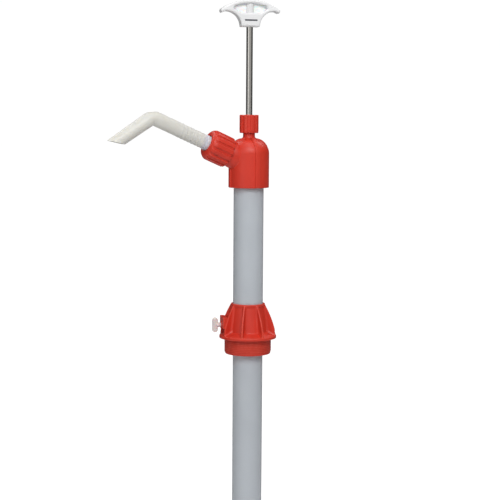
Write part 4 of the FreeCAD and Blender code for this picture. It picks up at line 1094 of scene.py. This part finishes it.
def dress_inner_nodes():
    """The pieces inside keep their own meshes and get a finish."""
    finishes = {
        RUBBER: ("adapter_seal", "tube_o_ring", "spout_gasket", "foot_o_ring"),
        PACKING: ("rod_packing",),
        PTFE: ("piston_ring",),
        VALVE: ("gland_follower", "piston_body", "foot_valve_body", "foot_ball_guard"),
        STEEL: ("piston_jam_nut",),
        BALL_STEEL: ("piston_ball", "foot_ball"),
    }
    for material, names in finishes.items():
        for name in names:
            data = NODES[name].data
            data.materials.clear()
            data.materials.append(material)


# -------------------- studio

def make_floor():
    """A pale floor that glows a little to the camera alone, so that no horizon shows."""
    size = FLOOR_SIZE
    mesh = new_mesh("floor", [(-size, -size, FLOOR_Z), (size, -size, FLOOR_Z),
                              (size, size, FLOOR_Z), (-size, size, FLOOR_Z)], [(0, 1, 2, 3)])
    floor = bpy.data.objects.new("floor", mesh)
    SCENE.collection.objects.link(floor)
    material = bpy.data.materials.new("pale_floor")
    material.use_nodes = True
    shader = material.node_tree.nodes["Principled BSDF"]
    shader.inputs["Base Color"].default_value = (0.9, 0.9, 0.9, 1)
    shader.inputs["Roughness"].default_value = 0.8
    shader.inputs["Specular IOR Level"].default_value = 0.1
    shader.inputs["Emission Color"].default_value = (1, 1, 1, 1)
    tree = material.node_tree
    seen = tree.nodes.new("ShaderNodeLightPath").outputs["Is Camera Ray"]
    tree.links.new(sum_node(tree, "MULTIPLY", seen, FLOOR_GLOW),
                   shader.inputs["Emission Strength"])
    mesh.materials.append(material)


def softbox(name, azimuth, elevation, distance, width, height, power):
    """A rectangular light that faces the aim. Azimuth 0 is the front, -Y, and 90 is +X."""
    a, e = math.radians(azimuth), math.radians(elevation)
    back = Vector((math.sin(a) * math.cos(e), -math.cos(a) * math.cos(e), math.sin(e)))
    data = bpy.data.lights.new(name, "AREA")
    data.shape = "RECTANGLE"
    data.size, data.size_y, data.energy = width, height, power
    lamp = bpy.data.objects.new(name, data)
    lamp.location = LIGHT_AIM + back * distance
    lamp.rotation_mode = "QUATERNION"
    lamp.rotation_quaternion = (-back).to_track_quat("-Z", "Y")
    SCENE.collection.objects.link(lamp)


def make_lights():
    """The softboxes, and pale surroundings that are brighter on the camera's side."""
    for name, place in LIGHTS.items():
        softbox(name, *place)
    world = bpy.data.worlds.new("studio")
    world.use_nodes = True
    SCENE.world = world
    tree = world.node_tree
    background = tree.nodes["Background"]
    seen = tree.nodes.new("ShaderNodeLightPath").outputs["Is Camera Ray"]
    toward = tree.nodes.new("ShaderNodeVectorMath")
    toward.operation = "DOT_PRODUCT"
    feed(tree, toward, in_0=tree.nodes.new("ShaderNodeTexCoord").outputs["Generated"],
         in_1=(math.sin(CAMERA_AZIMUTH), -math.cos(CAMERA_AZIMUTH), 0.15))
    surround = spread(tree, toward.outputs["Value"], 0.15, 0.8, SURROUND_LOW, SURROUND)
    strength = sum_node(tree, "MAXIMUM", surround, sum_node(tree, "MULTIPLY", seen, BACKDROP))
    tree.links.new(strength, background.inputs["Strength"])
    background.inputs["Color"].default_value = (1, 1, 1, 1)


def make_camera():
    lens = bpy.data.cameras.new("camera")
    lens.lens, lens.sensor_width = CAMERA_LENS, CAMERA_SENSOR
    camera = bpy.data.objects.new("camera", lens)
    SCENE.collection.objects.link(camera)
    camera.matrix_world = (
        Matrix.Translation((math.sin(CAMERA_AZIMUTH) * CAMERA_DISTANCE,
                            -math.cos(CAMERA_AZIMUTH) * CAMERA_DISTANCE, CAMERA_HEIGHT))
        @ Matrix.Rotation(CAMERA_YAW, 4, "Z")
        @ Matrix.Rotation(CAMERA_PITCH, 4, "X")
        @ Matrix.Rotation(CAMERA_ROLL, 4, "Z"))
    SCENE.camera = camera


make_adapter()
make_thumb_screw()
make_tube()
make_head()
make_packing_nut()
make_spout_nut()
make_spout()
make_rod()
make_handle()
make_strainer()
dress_inner_nodes()
make_floor()
make_lights()
make_camera()
SCENE.view_settings.view_transform = "Standard"
